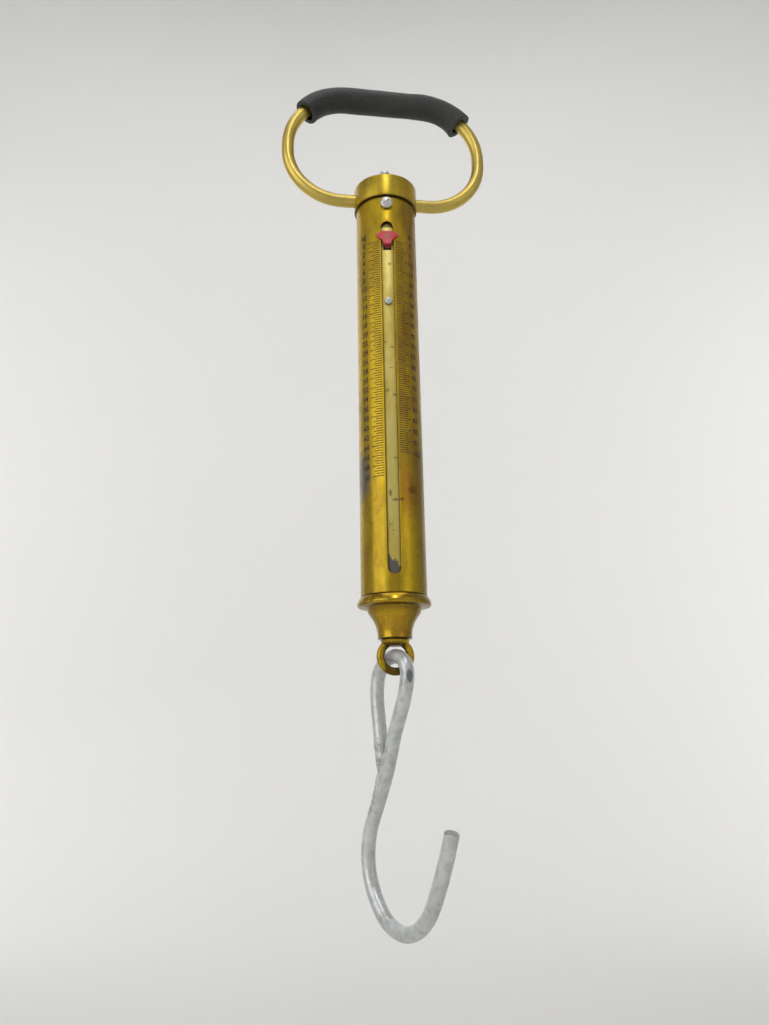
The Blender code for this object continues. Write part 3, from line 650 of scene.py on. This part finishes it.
def arc(centre_x, centre_z, radius, start, end, steps):
    """Points of an arc in the XZ plane, from start to end in degrees, measured from +X."""
    angles = [radians(start + (end - start) * step / steps) for step in range(steps + 1)]
    return [(centre_x + radius * cos(a), centre_z + radius * sin(a)) for a in angles]


def smooth_path(knots, steps):
    """A smooth curve through the knots, by Catmull and Rom's formula."""
    ends = [2 * knots[0] - knots[1]] + knots + [2 * knots[-1] - knots[-2]]
    path = []
    for a, b, c, d in zip(ends, ends[1:], ends[2:], ends[3:]):
        for step in range(steps):
            t = step / steps
            square, cube = 2 * a - 5 * b + 4 * c - d, 3 * b - a - 3 * c + d
            path.append(0.5 * (2 * b + (c - a) * t + square * t**2 + cube * t**3))
    path.append(knots[-1])
    return path


def evaluated(holder):
    """The object's final mesh. The object itself goes."""
    bpy.context.view_layer.update()
    result = holder.evaluated_get(bpy.context.evaluated_depsgraph_get())
    made = bpy.data.meshes.new_from_object(result)
    bpy.data.objects.remove(holder)
    return made


def settled(mesh, modifiers):
    """The mesh after the modifiers, each a (kind, settings) pair, have been applied."""
    holder = placed("holder", mesh)
    for kind, settings in modifiers:
        modifier = holder.modifiers.new(kind, kind)
        for key, value in settings.items():
            setattr(modifier, key, value)
    return evaluated(holder)


def cut(mesh, cutters, operation="DIFFERENCE"):
    """The mesh with each cutter mesh taken away, or joined."""
    holders = [placed("cutter", cutter) for cutter in cutters]
    steps = [("BOOLEAN", {"operation": operation, "solver": "EXACT", "object": h}) for h in holders]
    made = settled(mesh, steps)
    for holder in holders:
        bpy.data.objects.remove(holder)
    smooth(made, 35)
    return made


def run_together(mesh, voxel, rounds):
    """The mesh as one skin, by a fine remesh, with its joints smoothed over."""
    remesh = ("REMESH", {"mode": "VOXEL", "voxel_size": voxel})
    return settled(mesh, [remesh, ("SMOOTH", {"factor": 0.5, "iterations": rounds})])


def displaced(mesh, height):
    """Moves each vertex along its normal by height(its place)."""
    normals = [vertex.normal.copy() for vertex in mesh.vertices]
    for vertex, normal in zip(mesh.vertices, normals):
        vertex.co += normal * height(vertex.co.copy())


def rod(radius, start, end, segments=32):
    start, end = Vector(start), Vector(end)
    shape = bmesh.new()
    along = end - start
    place = Matrix.Translation((start + end) / 2) @ UP.rotation_difference(along).to_matrix().to_4x4()
    bmesh.ops.create_cone(shape, cap_ends=True, segments=segments, radius1=radius, radius2=radius,
                          depth=along.length, matrix=place)
    return to_mesh(shape)


def block(low_corner, high_corner):
    shape = bmesh.new()
    size = Vector(high_corner) - Vector(low_corner)
    middle = (Vector(high_corner) + Vector(low_corner)) / 2
    bmesh.ops.create_cube(shape, size=1.0, matrix=Matrix.Translation(middle) @ Matrix.Diagonal((*size, 1.0)))
    return to_mesh(shape)


def wrapped(mesh, radius, angle, z):
    """Bends flat artwork, drawn in X and Y with its depth in Z, round the tube at an angle and a height."""
    for vertex in mesh.vertices:
        x, y, depth = vertex.co
        r = radius + depth
        turn = angle + x / radius
        vertex.co = (r * sin(turn), -r * cos(turn), z + y)
    return mesh


def join(meshes):
    shape = bmesh.new()
    for mesh in meshes:
        shape.from_mesh(mesh)
    joined = bpy.data.meshes.new("mesh")
    shape.to_mesh(joined)
    shape.free()
    return joined


# ---- handle

HANDLE_HALF_WIDTH = 0.0538
UPPER_BEND_R = 0.033
LOWER_BEND_R = 0.030
GRIP_R = 0.0069
GRIP_HALF_WIDTH = 0.045
UPPER_X = HANDLE_HALF_WIDTH - UPPER_BEND_R


def handle_path(half):
    """Mirrors the right half and lays the bow along the cap's cross hole."""
    whole = half + [(-x, z) for x, z in reversed(half)]
    return [PIVOT_AXIS * x + UP * z for x, z in whole]


def make_handle():
    lower_x = HANDLE_HALF_WIDTH - LOWER_BEND_R
    lower = arc(lower_x, PIVOT_Z + LOWER_BEND_R, LOWER_BEND_R, -90, 0, 30)
    upper = arc(UPPER_X, GRIP_R - UPPER_BEND_R, UPPER_BEND_R, 0, 90, 30)
    rod_end = 0.0080
    straight = [(rod_end + (lower_x - rod_end) * t / 6, PIVOT_Z) for t in range(6)]
    path = handle_path(straight + lower + upper[1:])
    shape = swept(path, [ROD_R] * len(path), 36, HANDLE_NORMAL)
    show("bow_rod", to_mesh(shape), rod_brass(), "handle", ["handle_ring"])


def make_grip():
    """A length of hose pushed over the rod: it bends less than the rod, so its ends sit inwards."""
    start = degrees(acos((GRIP_HALF_WIDTH - UPPER_X) / UPPER_BEND_R))
    bend = arc(UPPER_X, GRIP_R - UPPER_BEND_R, UPPER_BEND_R, start, 90, 22)
    straight = [(UPPER_X * (1 - t / 8), GRIP_R) for t in range(1, 9)]
    path = handle_path((bend + straight)[:-1] + [(0.0002, GRIP_R)])
    centre = UP * -0.012
    count = len(path)
    bore_r, flare, lip = 0.0046, 0.0008, 0.0003
    sag = bore_r - ROD_R - 0.0001
    moved_path, radii = [], []
    for i, point in enumerate(path):
        from_end = min(i, count - 1 - i) / (count / 2)
        inward = centre - point
        inward.y = 0
        share = max(0.0, 1 - from_end * 2.4) ** 2
        moved_path.append(point + inward.normalized() * sag * share)
        lumpy = noise.noise(point * 90) * 0.00018
        radii.append(GRIP_R - 0.0001 + lumpy + (flare * share if i < count / 2 else 0.0))
    for end, step in ((0, 1), (-1, -1)):
        along = (moved_path[end + step] - moved_path[end]).normalized()
        after_end = 1 if end == 0 else len(moved_path) - 1
        moved_path.insert(after_end, moved_path[end] + along * lip)
        radii.insert(after_end, radii[end])
        radii[end] -= 0.00012
    shape = swept(moved_path, radii, 40, HANDLE_NORMAL, [bore_r] * len(moved_path))
    for vertex in shape.verts:
        vertex.co += UP * noise.noise(vertex.co * 160) * 0.00012
    mesh = to_mesh(shape, 50)
    show("hose_grip", mesh, hose_rubber(), "handle", ["grip_sleeve"])


# ---- cap and zero adjuster

def make_cap():
    bore = STUD_R + GAP + 0.0001
    spigot_r = TUBE_BORE_R - GAP
    profile = rounded_profile([
        (bore, CAP_BOTTOM), (spigot_r, CAP_BOTTOM, 1), (spigot_r, CAP_SEAM),
        (CAP_R, CAP_SEAM, 1), (CAP_R, CAP_TOP, 1.6), (bore, CAP_TOP, 0.8),
    ])
    mesh = to_mesh(turned(profile, 144))
    hole_end = 0.0077
    holes = []
    for side in (1, -1):
        inner, outer = [PIVOT_AXIS * side * x + UP * PIVOT_Z for x in (hole_end, 2 * CAP_R)]
        holes.append(rod(ROD_R + GAP, inner, outer, 48))
    show("machined_cap", cut(mesh, holes), cap_brass(), "casing", ["top_cap"])


def hex_reach(flats):
    def reach(angle, radius, _):
        from_flat = angle % (pi / 3) - pi / 6
        return min(radius, flats / 2 / cos(from_flat))
    return reach


def make_nuts(steel):
    """Hexagon nuts with turned chamfers: two on the stud and one on the eye's shank."""
    for node, body in (("zero_nut", "adjusting_nut"), ("lock_nut", "adjusting_nut"), ("eye_nut", "eye")):
        bottom, top = low(node).z, high(node).z
        flats, bevel = 0.0100, 0.00045
        corner, face_r, hole_r = flats / 2 / cos(pi / 6), flats / 2 - 0.0001, STUD_R + 0.0004
        profile = [(hole_r, bottom), (face_r, bottom), (corner, bottom + bevel),
                   (corner, top - bevel), (face_r, top), (hole_r, top)]
        mesh = to_mesh(turned(profile, 96, reach=hex_reach(flats)), 25)
        show(node + "_hex", mesh, steel, body, [node])


def make_stud(steel):
    """The stud's thread, as a grid whose radius follows a 1 mm pitch, under a domed end."""
    pitch = 0.0010
    depth = 0.00045
    bottom = low("zero_stud").z
    dome = STUD_R / 2
    sides = 40
    per_turn = 8
    shape = bmesh.new()
    rows = int((STUD_TOP - dome - bottom) / pitch * per_turn)
    rings = []
    for row in range(rows + 1):
        z = bottom + (STUD_TOP - dome - bottom) * row / rows
        ring = []
        for step in range(sides):
            angle = TAU * step / sides
            phase = (z / pitch - step / sides) % 1.0
            r = STUD_R - depth * (1 - abs(2 * phase - 1)) * (1 if row < rows - 3 else 0.3)
            ring.append(shape.verts.new((r * cos(angle), r * sin(angle), z)))
        rings.append(ring)
    for angle in (25, 50, 72):
        a = radians(angle)
        z = STUD_TOP - dome * (1 - sin(a))
        r = STUD_R * cos(a)
        turns = [TAU * step / sides for step in range(sides)]
        rings.append([shape.verts.new((r * cos(t), r * sin(t), z)) for t in turns])
    bridge(shape, rings)
    shape.faces.new(rings[0])
    shape.faces.new(rings[-1])
    show("threaded_stud", to_mesh(shape, 60), steel, "stud", ["zero_stud"])


def make_screw(node, body, material, head_r, head_height, seat, tip, side, cut_angle):
    """A round head with a cut slot, on an axis along Y."""
    z = middle_z(node)
    shank, groove_half, groove_depth = 0.0015, 0.00035, 0.40 * head_height
    dome = [(head_r * cos(a), seat + head_height * (0.25 + 0.75 * sin(a)))
            for a in (radians(9 * step) for step in range(10))]
    profile = [(0, tip), (shank - GAP, tip), (shank, tip + GAP), (shank, seat), (head_r, seat)] + dome
    profile.append((0, seat + head_height))
    mesh = to_mesh(turned(profile, 48, hollow=False), 40)
    lay = Matrix.Translation((0, 0, z)) @ Matrix.Rotation(side * pi / 2, 4, "X")
    mesh.transform(lay)
    top = seat + head_height
    groove = block((-2 * head_r, -groove_half, top - groove_depth), (2 * head_r, groove_half, 2 * top))
    groove.transform(lay @ Matrix.Rotation(radians(cut_angle), 4, "Z"))
    show(node + "_head", cut(mesh, [groove]), material, body, [node])


# ---- tubes

def slot_outline(half_width):
    upper = arc(0, SLOT_TOP - SLOT_HALF, half_width, 0, 180, 14)
    lower = arc(0, SLOT_BOTTOM + SLOT_HALF, half_width, 180, 360, 14)
    outline, steps = [], 60
    for bend, after in ((upper, lower), (lower, upper)):
        (x, start), end = bend[-1], after[0][1]
        outline += bend + [(x, start + (end - start) * t / steps) for t in range(1, steps)]
    return outline


def slot_cutter():
    """Cuts the slot and a fine chamfer along its edge, following the tube's curve.

    Each level is a radius, how far the slot grows there, and whether the ring lies flat.
    """
    chamfer = 0.00038
    shape = bmesh.new()
    levels = [(2 * TUBE_R, 0.0012, True), (TUBE_R + 0.0008, 0.0008 + chamfer, False),
              (TUBE_R - chamfer, 0.0, False), (TUBE_BORE_R - 0.003, 0.0, True)]
    rings = []
    for radius, grow, flat in levels:
        ring = []
        for x, z in slot_outline(SLOT_HALF + grow):
            y = -radius if flat else -sqrt(radius**2 - x**2)
            ring.append(shape.verts.new((x, y, z)))
        rings.append(ring)
    bridge(shape, rings)
    shape.faces.new(rings[0])
    shape.faces.new(rings[-1])
    return to_mesh(shape)


def make_casing():
    profile = rounded_profile([
        (TUBE_BORE_R, TUBE_BOTTOM), (TUBE_R, TUBE_BOTTOM, 0.9),
        (TUBE_R, TUBE_TOP, 0.5), (TUBE_BORE_R, TUBE_TOP),
    ])
    mesh = to_mesh(turned(profile, 160))
    z = middle_z("cap_screw_front")
    holes = [slot_cutter(), rod(PIN_HOLE_R, (0, -2 * TUBE_R, z), (0, 2 * TUBE_R, z))]
    show("brass_casing", cut(mesh, holes), casing_brass(), "casing", ["casing_tube"])


def make_inner_tube():
    bore = INNER_R - 0.0009
    bottom = low("inner_tube").z
    profile = [(bore, bottom), (INNER_R, bottom), (INNER_R, INNER_TOP), (bore, INNER_TOP)]
    mesh = to_mesh(turned(rounded_profile([p + (0.5,) for p in profile]), 144))
    half, window_bottom, window_top = 0.0022, -0.0977, -0.0912
    window = block((-half, -2 * INNER_R, window_bottom), (half, -0.5 * INNER_R, window_top))
    screw_z = middle_z("stop_screw")
    holes = [window, rod(PIN_HOLE_R, (0, -2 * INNER_R, screw_z), (0, -0.5 * INNER_R, screw_z))]
    for node in ("anchor_pin", "bell_pin_left"):
        z = middle_z(node)
        holes.append(rod(PIN_HOLE_R, (-2 * INNER_R, 0, z), (2 * INNER_R, 0, z)))
    show("sliding_tube", cut(mesh, holes), inner_brass(), "load", ["inner_tube"])


def make_spring(material):
    turns, pitch, radius, spring_wire_r = 42, 0.00385, 0.0105, 0.00170
    top = -0.0905
    bottom = top - pitch * turns
    steps = 36 * turns
    path = []
    for i in range(steps + 1):
        angle = TAU * turns * i / steps
        z = top + (bottom - top) * i / steps
        path.append(Vector((radius * cos(angle), radius * sin(angle), z)))
    shape = swept(path, [spring_wire_r] * len(path), 10, UP)
    piece = show("spring_wire", to_mesh(shape, 60), material, None, ["spring"])
    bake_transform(piece)


# ---- scale

def tick(start, end, z):
    """A thin strip of ink round the tube, from one angle to another in degrees."""
    thick, height = 0.00004, 0.00042
    parts = max(2, int(abs(end - start) / 2.5))
    inner, outer, half = TUBE_R - thick, TUBE_R + thick, height / 2
    corners = ((inner, -half), (inner, half), (outer, half), (outer, -half))
    shape = bmesh.new()
    columns = []
    for step in range(parts + 1):
        a = radians(start + (end - start) * step / parts)
        columns.append([shape.verts.new((r * sin(a), -r * cos(a), z + dz)) for r, dz in corners])
    bridge(shape, columns)
    shape.faces.new(columns[0])
    shape.faces.new(columns[-1])
    return to_mesh(shape)


def numeral(text, angle, z, size):
    """A number in Blender's own font, centred, as thin ink on the tube."""
    curve = bpy.data.curves.new("numeral", "FONT")
    curve.body = text
    curve.size = size
    curve.align_x = "CENTER"
    curve.align_y = "CENTER"
    curve.extrude = 0.00004
    curve.offset = 0.00009
    curve.resolution_u = 3
    curve.space_character = 1.08
    return wrapped(evaluated(placed("numeral", curve)), TUBE_R, radians(angle), z)


def make_scale():
    """Kilograms by the half on the left of the slot, pounds on the right."""
    ink = mark_ink()
    random.seed(11)
    kg_size, lb_size = 0.0039, 0.0036
    slot_side, kg_angle, lb_angle = 15.2, -50.5, 49.5
    unit_z = ZERO_MARK_Z + 2 * METRES_PER_KG
    ticks, numerals = [], []
    for half in range(2 * LAST_KG + 1):
        z = ZERO_MARK_Z - METRES_PER_KG * half / 2
        end = -38.0 if half % 4 == 0 else -32.0 if half % 2 == 0 else -27.8
        ticks.append(tick(-slot_side, end + random.uniform(-0.5, 0.5), z))
    show("kilogram_ticks", join(ticks), ink, "casing")
    for kg in range(0, LAST_KG + 1, 2):
        z = ZERO_MARK_Z - METRES_PER_KG * kg
        angle = kg_angle + random.uniform(-0.6, 0.6)
        z += random.uniform(-0.0001, 0.0001)
        numerals.append(numeral(str(kg), angle, z, kg_size))
    numerals.append(numeral("kg", kg_angle, unit_z, kg_size))
    show("kilogram_numbers", join(numerals), ink, "casing")
    ticks, numerals = [], []
    for lb in range(LAST_LB + 1):
        z = ZERO_MARK_Z - METRES_PER_KG * KG_PER_LB * lb
        end = 38.0 if lb % 5 == 0 else 31.0
        ticks.append(tick(slot_side, end + random.uniform(-0.5, 0.5), z))
    show("pound_ticks", join(ticks), ink, "casing")
    for lb in range(0, LAST_LB + 1, 5):
        z = ZERO_MARK_Z - METRES_PER_KG * KG_PER_LB * lb
        angle = lb_angle + random.uniform(-0.6, 0.6)
        numerals.append(numeral(str(lb), angle, z, lb_size))
    numerals.append(numeral("lb", lb_angle, unit_z, lb_size))
    show("pound_numbers", join(numerals), ink, "casing")


def make_pointer():
    """A shield bent round the tube, with a rim, and a tongue through the slot."""
    tip = -0.0896
    top = tip + 0.0018
    bottom = tip - 0.0058
    right = [(0.0, bottom), (0.0015, bottom), (0.0021, bottom + 0.0005), (0.0023, bottom + 0.0015),
             (0.0031, bottom + 0.0029), (0.0045, bottom + 0.0042), (0.0058, tip - 0.0006), (0.0063, tip),
             (0.0058, tip + 0.0003),
             (0.0040, top - 0.0007), (0.0032, top - 0.0001), (0.0016, top), (0.0, top - 0.0002)]
    outline = right + [(-x, z) for x, z in reversed(right[1:-1])]
    shape = bmesh.new()
    verts = [shape.verts.new((x, z, 0)) for x, z in outline]
    face = shape.faces.new(verts)
    bmesh.ops.triangulate(shape, faces=[face])
    half_width, columns = 0.0062, 31
    for step in range(columns + 1):
        cut_x = step * 0.0004 - half_width
        geometry = shape.verts[:] + shape.edges[:] + shape.faces[:]
        bmesh.ops.bisect_plane(shape, geom=geometry, plane_co=(cut_x, 0, 0), plane_no=(1, 0, 0))
    mesh = settled(to_mesh(shape), [("SOLIDIFY", {"thickness": 0.0007, "offset": 0.0})])
    shield_r = TUBE_R + 0.0008
    wrapped(mesh, shield_r, 0.0, 0.0)
    bevel = {"width": 0.00015, "segments": 2, "angle_limit": radians(50)}
    mesh = settled(mesh, [("BEVEL", bevel)])
    smooth(mesh, 60)
    half, tongue_r, tongue_bottom, tongue_top = 0.0018, 0.0130, -0.0952, -0.0925
    tongue = block((-half, -shield_r, tongue_bottom), (half, -tongue_r, tongue_top))
    show("red_pointer", join([mesh, tongue]), red_paint(), "load", ["pointer"])


# ---- bell and eye

def make_bell():
    """Flange, concave cone and neck, with ragged nicks at the front left of the flange's rim."""
    neck_r, bore = 0.0082, 0.0034
    spigot_r, chamber_r = 0.0133, 0.0085
    floor = BELL_BOTTOM + 0.0116
    cone = [(r, BELL_BOTTOM + up) for r, up in (
        (neck_r, 0.0014), (0.0083, 0.0030), (0.0086, 0.0046), (0.0091, 0.0064), (0.0098, 0.0081),
        (0.0108, 0.0098), (0.0119, 0.0113))]
    flange = [(r, BELL_TOP - down, corner) for r, down, corner in (
        (0.0127, 0.0070, 0), (0.0131, 0.0054, 0), (0.0136, 0.0048, 1), (0.0171, 0.0044, 0.6),
        (0.01775, 0.0038, 0.6), (0.01785, 0.0030, 0.8), (0.0174, 0.0016, 0), (0.0168, 0.0005, 0),
        (0.0163, 0.0, 0))]
    spigot = [(spigot_r, BELL_TOP), (spigot_r, BELL_SPIGOT_TOP, 1), (chamber_r, BELL_SPIGOT_TOP),
              (chamber_r, floor), (bore, floor)]
    profile = rounded_profile([(bore, BELL_BOTTOM), (neck_r, BELL_BOTTOM, 1)] + cone + flange + spigot)

    nick_at, nick_width, nick_depth = radians(222), radians(13), 0.0009

    def reach(angle, radius, z):
        if radius < 0.0150 or z > BELL_TOP - 0.0010:
            return radius
        away = (angle - nick_at) / nick_width
        nick = exp(-away**2) * (0.35 + 0.65 * noise.noise(Vector((angle * 14, z * 900, 0.5))))
        return radius - nick_depth * max(0.0, nick)

    mesh = to_mesh(turned(profile, 180, reach=reach), 40)
    pin_z = -0.2725
    holes = [rod(PIN_HOLE_R, (side * 0.006, 0, pin_z), (side * 0.02, 0, pin_z)) for side in (1, -1)]
    show("bell_foot", cut(mesh, holes), bell_brass(), "load", ["load_bell"])


def make_eye():
    """The ring and the shoulder under the bell, run together as one casting, on a turned shank."""
    ring_r, radial, axial = 0.00710, 0.00190, 0.00170
    around = [TAU * step / 20 for step in range(20)]
    section = [(ring_r + radial * cos(a), axial * sin(a)) for a in around]
    ring = to_mesh(turned(section, 72))
    ring.transform(Matrix.Translation((0, 0, EYE_Z)) @ Matrix.Rotation(pi / 2, 4, "X"))
    shoulder_top = BELL_BOTTOM - GAP
    shoulder = [(0, SHOULDER_FOOT), (0.0040, SHOULDER_FOOT), (0.0064, shoulder_top - 0.0016),
                (0.0069, shoulder_top - 0.0004), (0.0068, shoulder_top), (0, shoulder_top)]
    turned_shoulder = to_mesh(turned(shoulder, 64, hollow=False))
    above = block((-0.02, -0.02, shoulder_top), (0.02, 0.02, shoulder_top + 0.02))
    ring = cut(ring, [above])
    joined = cut(ring, [turned_shoulder], "UNION")
    cast = run_together(joined, 0.00022, 6)
    for vertex in cast.vertices:
        vertex.co.z = min(vertex.co.z, shoulder_top)
    displaced(cast, lambda place: 0.00005 * noise.noise(place * 420))
    shank_r, shank_foot, shank_top = 0.0031, shoulder_top - 0.0008, high("swivel_eye").z
    outline = [(0, shank_foot), (shank_r, shank_foot), (shank_r, shank_top), (0, shank_top)]
    shank = to_mesh(turned(outline, 40, hollow=False))
    mesh = join([cast, shank])
    smooth(mesh, 55)
    show("cast_eye", mesh, eye_brass(), "eye", ["swivel_eye"])


# ---- hook

def hook_points(pairs):
    """Points of the hook's own plane, given in millimetres as (along, z)."""
    return [HOOK_ALONG * (u / 1000) + UP * (z / 1000) for u, z in pairs]


# The wire's middle line in millimetres, as (along, z), from its point round to the welds.
HOOK_TOP = -306.6
POINT_AND_BOW = [(35.4, -382.4), (30.6, -394.6), (25.0, -406.6), (18.8, -416.8), (10.8, -423.4),
                 (1.0, -425.8), (-9.4, -422.8), (-17.2, -415.2), (-22.3, -405.6), (-23.8, -395.4)]
SHANK = [(-21.9, -385.4), (-17.6, -376.6), (-12.9, -368.0), (-8.6, -359.5), (-5.0, -350.5),
         (-1.6, -341.5), (2.9, -332.5), (6.8, -323.5), (8.5, -315.0)]
LOOP = [(6.0, HOOK_TOP - 2.4), (0.0, HOOK_TOP), (-8.0, HOOK_TOP - 1.6), (-13.2, HOOK_TOP - 7.4),
        (-14.9, HOOK_TOP - 17.0), (-13.9, HOOK_TOP - 28.0), (-12.5, HOOK_TOP - 37.4)]
TAIL = [(-12.9, -341.0), (-12.6, -346.5), (-12.0, -353.0), (-11.3, -360.5)]
BEAD = [(-10.9, -357.5), (-12.9, -363.5), (-15.2, -369.0), (-17.2, -374.5)]
WELD_CENTRES = hook_points([(-12.8, -347.5), (-12.2, -355.5), (-15.0, -366.0)])
WELD_ZONES = list(zip(WELD_CENTRES, (0.0055, 0.0055, 0.0090)))
RUST_SPOTS = hook_points([(-12.8, -362.5), (-15.8, -371.0)])


def tapered(path, sizes):
    """A bar along a path whose radius passes smoothly through sizes, given in millimetres."""
    last = len(sizes) - 1
    radii = []
    for i in range(len(path)):
        t = last * i / (len(path) - 1)
        a = min(int(t), last - 1)
        radii.append((sizes[a] + (sizes[a + 1] - sizes[a]) * (t - a)) / 1000)
    return to_mesh(swept(path, radii, 20, HOOK_NORMAL))


def hook_roughness(place):
    """Faint waves of zinc everywhere, and pits and beads at the welds."""
    height = 0.00006 * noise.noise(place * 260)
    weld = 0.0
    for centre, size in WELD_ZONES:
        away = place - centre
        weld = max(weld, 1 - hypot(away.dot(HOOK_ALONG) / WELD_HALF_WIDTH, away.z / size))
    if weld > 0:
        pitted = noise.noise(place * 900) + 0.7 * noise.noise(place * 1800)
        height += 0.00034 * min(1.0, 2 * weld) * pitted
    return height


def make_hook():
    """The bent wire with its welded tail, run together by a fine remesh and roughened at the welds."""
    path = smooth_path(hook_points(POINT_AND_BOW + SHANK + LOOP), 8)
    start = path[0]
    along = (path[1] - start).normalized()
    path = [start, start + along * 0.0004] + path[1:]
    radii = [WIRE_R] * len(path)
    radii[0] = WIRE_R - 0.0004
    wire = to_mesh(swept(path, radii, 28, HOOK_NORMAL))
    tail = tapered(smooth_path(hook_points(TAIL), 6), (2.9, 3.4, 3.2, 3.0, 2.8, 2.3))
    bead = tapered(smooth_path(hook_points(BEAD), 6), (2.0, 2.7, 2.7, 2.4, 2.6, 2.3, 1.2))
    joined = cut(wire, [tail, bead], "UNION")
    mesh = run_together(joined, 0.00036, 5)
    displaced(mesh, hook_roughness)
    mesh.shade_smooth()
    show("wire_hook", mesh, zinc(), "hook", ["hook"])


# ---- CAD nodes that stay

def refinish(nodes, material):
    for name in nodes:
        node = frame["nodes"][name]
        node.data.materials.clear()
        node.data.materials.append(material)


# ---- studio

def make_floor():
    """A pale dish: a flat floor that curves up all round, so that no horizon shows."""
    floor_z = CAD_LOW.z - 0.22
    flat_r, bend_r, wall_top = 1.2, 1.0, 4.5
    profile = [(0.0, floor_z), (flat_r, floor_z)]
    profile += [(flat_r + bend_r * sin(a), floor_z + bend_r * (1 - cos(a)))
                for a in (radians(6 * step) for step in range(1, 16))]
    profile.append((flat_r + bend_r, floor_z + wall_top))
    mesh = to_mesh(turned(profile, 96, hollow=False), 80)
    floor = placed("studio_floor", mesh)
    look = Look("studio_white", roughness=0.9)
    soft = look.noise(1.4, 2.0, 0.5)
    look.colour(look.mix(soft, (0.80, 0.795, 0.78), (0.74, 0.735, 0.72)))
    mesh.materials.append(look.material)


def add_light(name, azimuth, elevation, distance, size, power, aim):
    """A soft rectangular light. Azimuth 0 is towards -Y, and positive turns towards +X."""
    light = bpy.data.lights.new(name, "AREA")
    light.shape = "RECTANGLE"
    light.size, light.size_y = size
    light.energy = power
    lamp = placed(name, light)
    a, e = radians(azimuth), radians(elevation)
    away = Vector((sin(a) * cos(e), -cos(a) * cos(e), sin(e)))
    lamp.location = aim + away * distance
    lamp.rotation_mode = "QUATERNION"
    lamp.rotation_quaternion = (-away).to_track_quat("-Z", "Y")


def light_studio():
    aim = Vector((0, 0, -0.20))
    for name, azimuth, elevation, distance, size, power in (
        ("key", -50, 14, 1.5, (1.3, 1.3), 6.8),
        ("fill", 46, 16, 1.6, (0.8, 1.2), 1.2),
        ("window", 2, 46, 1.5, (0.18, 0.5), 2.8),
        ("top", -10, 80, 1.5, (1.2, 1.2), 6),
        ("back", -145, 30, 1.7, (1.4, 1.2), 2),
    ):
        add_light(name, azimuth, elevation, distance, size, power, aim)
    for side in (-1, 1):
        add_light("backdrop", side * 31.5, 2, 1.5, (0.5, 1.8), 6.8, Vector((side * 0.45, 2.2, 0.35)))
    add_light("backdrop_high", 0, 17, 1.36, (1.6, 0.4), 7.5, Vector((0, 2.2, 1.5)))
    world = bpy.data.worlds.new("studio")
    world.use_nodes = True
    background = world.node_tree.nodes["Background"]
    background.inputs["Color"].default_value = (0.96, 0.98, 1.0, 1)
    background.inputs["Strength"].default_value = 0.36
    bpy.context.scene.world = world


def place_camera():
    """In front of the tube and level with the hook's shank, looking up a little, rolled slightly."""
    azimuth, pitch, roll = radians(-1.70), radians(15.62), radians(-1.15)
    turn = Matrix.Rotation(azimuth, 4, "Z") @ Matrix.Rotation(pi / 2 + pitch, 4, "X")
    camera = bpy.data.cameras.new("camera")
    camera.lens = 29.29
    camera.sensor_width = 36.0
    camera.clip_start = 0.01
    camera.clip_end = 20.0
    holder = placed("camera", camera)
    place = Matrix.Translation((-0.0156, -0.3970, -0.3471))
    holder.matrix_world = place @ turn @ Matrix.Rotation(roll, 4, "Z")
    bpy.context.scene.camera = holder


def main():
    steel = plated_steel()
    make_handle()
    make_grip()
    make_cap()
    make_stud(steel)
    make_nuts(steel)
    screw_seat = TUBE_R + GAP
    make_screw("cap_screw_front", "casing", steel, 0.0033, 0.0022, screw_seat, 0.0092, 1, 35)
    make_screw("cap_screw_back", "casing", steel, 0.0033, 0.0022, screw_seat, 0.0092, -1, 70)
    make_screw("stop_screw", "load", steel, 0.0020, 0.0014, INNER_R + GAP, 0.01265, 1, 40)
    make_casing()
    make_scale()
    make_inner_tube()
    make_spring(spring_steel())
    make_pointer()
    make_bell()
    make_eye()
    make_hook()
    refinish(["stud_washer", "eye_washer", "anchor_pin", "bell_pin_left", "bell_pin_right"], steel)
    refinish(["upper_spring_anchor", "lower_spring_anchor"], anchor_brass())
    make_floor()
    light_studio()
    place_camera()
    bpy.context.scene.view_settings.view_transform = "Standard"


main()
bpy.context.view_layer.update()
